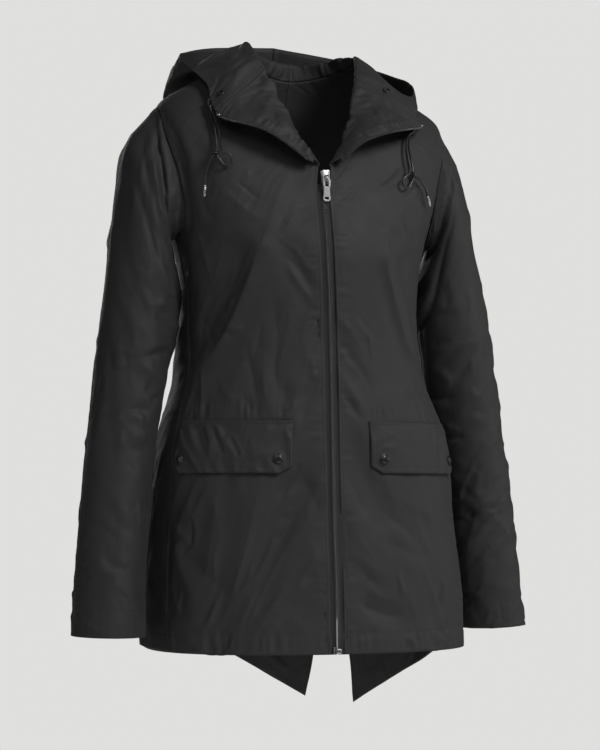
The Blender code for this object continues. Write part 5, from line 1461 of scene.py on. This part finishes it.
def addPull():  # a flat tab with a window at the bridge and a slot near its end
    curve = bpy.data.curves.new("pull_tab_flat", "CURVE")
    curve.dimensions = "2D"
    curve.fill_mode = "BOTH"
    curve.extrude = zipper["tabThickness"] / 2 - zipper["tabBevel"]
    curve.bevel_depth = zipper["tabBevel"]
    curve.bevel_resolution = 2
    curve.offset = -zipper["tabBevel"]
    half = smoothPath(zipper["tabOutline"], 0.0005)
    outlines = [np.concatenate([half, (half * (-1, 1))[::-1][1:-1]])]
    for wide, top, bottom in zipper["tabHoles"]:
        outlines.append(roundedBox(2 * wide, top - bottom, zipper["tabHoleCorner"]) + (0, (top + bottom) / 2))
    for outline in outlines:
        spline = curve.splines.new("POLY")
        spline.use_cyclic_u = True
        spline.points.add(len(outline) - 1)
        for place, (x, z) in zip(spline.points, outline):
            place.co = (x, z, 0.0, 1.0)
    curve.materials.append(steelPaint)
    tab = bpy.data.objects.new("pull_tab_flat", curve)
    tab.location = zipper["hinge"]
    tab.rotation_euler = (math.radians(90), 0.0, 0.0)
    scene.collection.objects.link(tab)
    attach(tab, "zip_pull")
    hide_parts("pull_tab")


def addBox():
    heap = Heap()
    for centre, (width, depth, height), radius in zipper["blocks"]:
        points, faces = slab(roundedBox(width, height, radius), -depth / 2, depth / 2, zipper["blockBevel"])
        heap.add(points + np.array(centre), faces)
    heap.piece("zip_box_block", steelPaint, slot="zip_teeth", nodes=("zip_box",))
    print("slider, pull and box made")


addChain()
addSlider()
addPull()
addBox()

eyelet = {
    "radius": 0.0034,
    "sink": 0.0019,
    "section": (0.0011, 0.0007),
    "sides": (36, 12),
    "place": {
        right: ((-0.11792, -0.07028, -0.03722), (0.518, 0.6927, -0.5018)),
        left: ((0.09406, -0.06304, -0.0209), (-0.0108, 0.8055, -0.5925)),
    },
}


def addEyelets():
    around, over = eyelet["sides"]
    wide, high = eyelet["section"]
    bend = circle(over)
    for side, word in sideNames.items():
        point, normal = (np.array(row) for row in eyelet["place"][side])
        axis = -unit(normal)
        across = unit(np.cross(axis, (0.2, 0.3, 0.9)))
        turn = circle(around)[:, None, None]
        ring = np.cos(turn) * across + np.sin(turn) * np.cross(axis, across)
        radius = (eyelet["radius"] + wide * np.cos(bend))[None, :, None]
        points = point + axis * eyelet["sink"] + ring * radius + axis * (high * np.sin(bend))[None, :, None]
        quads = gridFaces(around + 1, over, wrapColumns=True) % (around * over)
        name, node = "eyelet_ring_" + word, "eyelet_" + word
        addPiece(name, points, quads[:, ::-1], enamelPaint, slot="snap_enamel", nodes=(node,))
    print("eyelets made")


addEyelets()


# stitching: short thread lengths laid on the cloth beside its edges
thread = {
    "length": 0.0024,
    "gap": 0.0009,
    "radius": 0.00024,
    "sides": 5,
    "shape": np.array([  # share of the length, lift, share of the radius
        (0.0, -0.0002, 0.5), (0.25, 0.00014, 1.0), (0.75, 0.00014, 1.0), (1.0, -0.0002, 0.5),
    ]),
    "front": [("firstColumn", 0.0018), ("firstColumn", 0.0062), ("firstRow", 0.0230), ("lastColumn", 0.0030)],
    "back": [("firstRow", 0.0180), ("lastColumn", 0.0050)],
    "backInner": [("firstRow", 0.0180)],
    "vent": ("lastColumn", 0.0160),
    "flap": [("firstRow", 0.0055), ("firstColumn", 0.0055), ("lastColumn", 0.0055), ("lastRow", 0.0050)],
    "rim": {"lapel": 0.0062, "hood": 0.0180},
    "rimEdge": 0.0020,
    "collarSeam": 0.0030,
}


def edgeLine(grid, edge, distance, inner=False):  # a line at a distance inside one edge of a cloth grid
    points, normals = grid["points"], grid["normals"]
    if edge in ("firstRow", "lastRow"):
        points, normals = points.transpose(1, 0, 2), normals.transpose(1, 0, 2)
    if edge.startswith("last"):
        points, normals = points[:, ::-1], normals[:, ::-1]
    arc = arcs(points, 1)
    line, out = [], []
    for k in range(len(points)):
        at = min(np.interp(distance, arc[k], np.arange(arc.shape[1])), arc.shape[1] - 1.001)
        low, share = int(at), at - int(at)
        line.append(mix(points[k, low], points[k, low + 1], share))
        out.append(mix(normals[k, low], normals[k, low + 1], share))
    line, out = np.array(line), unit(np.array(out))
    return (line - out * clothWall, -out) if inner else (line, out)


def stitchRow(heap, line, out):
    lengths = arcs(line)
    step = thread["length"] + thread["gap"]
    starts = np.arange(0.001, lengths[-1] - step, step)
    if len(starts) == 0:
        return
    along, lift, thick = thread["shape"].T
    at = starts[:, None] + along * thread["length"]
    place = pickAlong(at, lengths, line)
    normal = unit(pickAlong(at, lengths, out))
    across = unit(np.cross(unit(place[:, -1:] - place[:, :1]), normal))
    bend = circle(thread["sides"])[:, None]
    ring = across[:, :, None] * np.cos(bend) + normal[:, :, None] * np.sin(bend)
    points = (place + normal * lift[:, None])[:, :, None] + ring * (thick * thread["radius"])[:, None, None]
    quads = gridFaces(len(along), thread["sides"], wrapColumns=True)
    first = np.arange(len(starts)) * len(along) * thread["sides"]
    heap.add(points.reshape(-1, 3), (quads[None] + first[:, None, None]).reshape(-1, 4))


def stitchLines(side):  # the lines of sewing on each group of cloths
    front, back = bodyGrids[side, "front"], bodyGrids[side, "back"]
    lines = {"front": [edgeLine(front, *row) for row in thread["front"]]}
    tail = len(back["points"]) // 5
    vent = [row[:tail] for row in edgeLine(back, *thread["vent"], inner=True)]
    inside = [edgeLine(back, *row, inner=True) for row in thread["backInner"]]
    lines["back"] = [edgeLine(back, *row) for row in thread["back"]] + inside + [vent]
    cuffs = [sleeveGrids[side, half] for half in ("front", "back")]
    lines["sleeve"] = [edgeLine(grid, "lastRow", sleeveCloth["cuffStitch"]) for grid in cuffs]
    lines["flap"] = [edgeLine(flapGrids[side], *row) for row in thread["flap"]]
    lines["collar"] = []
    for name, rim in thread["rim"].items():
        grid = collarGrids[side, name]
        lines["collar"] += [edgeLine(grid, "lastColumn", distance, inner=True) for distance in (rim, thread["rimEdge"])]
        lines["collar"].append(edgeLine(grid, "lastColumn", rim))
        lines["collar"].append(edgeLine(grid, "lastRow", thread["collarSeam"], inner=True))
    lines["collar"].append(edgeLine(collarGrids[side, "hood"], "firstRow", thread["collarSeam"], inner=True))
    return lines


def addStitches():
    made = {}
    for side, word in sideNames.items():
        for name, rows in stitchLines(side).items():
            heap = Heap()
            for line, out in rows:
                stitchRow(heap, line, out)
            made[side, name] = heap.piece("stitches_" + name + "_" + word, threadPaint, slot="shell_cloth")
    print("stitching laid")
    return made


stitches = addStitches()


# the cuts that these cloths were sewn from would need their width and length before wearing; none are given here
def declareCuts():
    print("cuts not declared")


declareCuts()


# stage: pale floor, pale surroundings and soft lights
stage = {
    "floorLevel": -1.42,
    "floorRadius": 3.0,
    "floorColor": (0.74, 0.74, 0.73, 1),
    "seenColor": (0.745, 0.745, 0.730, 1),
    "aim": (0.0, 0.0, -0.35),
    "lights": [  # name, place, size, watts
        ("key", (1.05, -1.90, 1.15), (0.8, 1.0), 47.0),
        ("front", (-0.95, -2.04, 1.00), (0.8, 1.0), 9.0),
        ("left side", (-2.56, -0.50, -0.30), (1.0, 1.2), 8.0),
        ("right side", (2.56, -0.50, -0.10), (1.0, 1.2), 14.0),
        ("back", (-0.30, 2.50, 0.60), (1.2, 1.4), 22.0),
    ],
    "low": ("low", (0.05, -0.75, -1.25), (0.6, 0.3), 1.5),
    "lowAim": (0.0, 0.1, -0.85),
}


def addFloor():
    turn = circle(96)
    rim = np.stack([np.cos(turn), np.sin(turn), np.zeros_like(turn)], axis=-1) * stage["floorRadius"]
    mesh = bpy.data.meshes.new("floor")
    mesh.from_pydata((rim + (0, 0, stage["floorLevel"])).tolist(), [], [tuple(range(len(rim)))])
    floorPaint, _, shader = paint("floor")
    shader.inputs["Base Color"].default_value = stage["floorColor"]
    shader.inputs["Roughness"].default_value = 0.9
    mesh.materials.append(floorPaint)
    floor = bpy.data.objects.new("floor", mesh)
    scene.collection.objects.link(floor)


def addWorld():  # a faint even light, behind which the camera sees a pale wall
    world = bpy.data.worlds.new("studio")
    world.use_nodes = True
    scene.world = world
    tree = world.node_tree
    light, seen = tree.nodes["Background"], tree.nodes.new("ShaderNodeBackground")
    light.inputs["Color"].default_value = (1.0, 1.0, 1.0, 1)
    light.inputs["Strength"].default_value = 0.02
    seen.inputs["Color"].default_value = stage["seenColor"]
    seen.inputs["Strength"].default_value = 1.0
    path = tree.nodes.new("ShaderNodeLightPath")
    pick = tree.nodes.new("ShaderNodeMixShader")
    tree.links.new(path.outputs["Is Camera Ray"], pick.inputs["Fac"])
    tree.links.new(light.outputs[0], pick.inputs[1])
    tree.links.new(seen.outputs[0], pick.inputs[2])
    tree.links.new(pick.outputs[0], tree.nodes["World Output"].inputs["Surface"])


def addLight(name, place, size, power, aim):
    data = bpy.data.lights.new(name, "AREA")
    data.shape = "RECTANGLE"
    data.size, data.size_y = size
    data.energy = power
    lamp = bpy.data.objects.new(name, data)
    lamp.location = place
    lamp.rotation_euler = (Vector(aim) - Vector(place)).to_track_quat("-Z", "Y").to_euler()
    scene.collection.objects.link(lamp)


addFloor()
addWorld()
for row in stage["lights"]:
    addLight(*row, stage["aim"])
addLight(*stage["low"], stage["lowAim"])
scene.view_settings.view_transform = "Standard"
print("stage and lights placed")

bpy.context.view_layer.update()
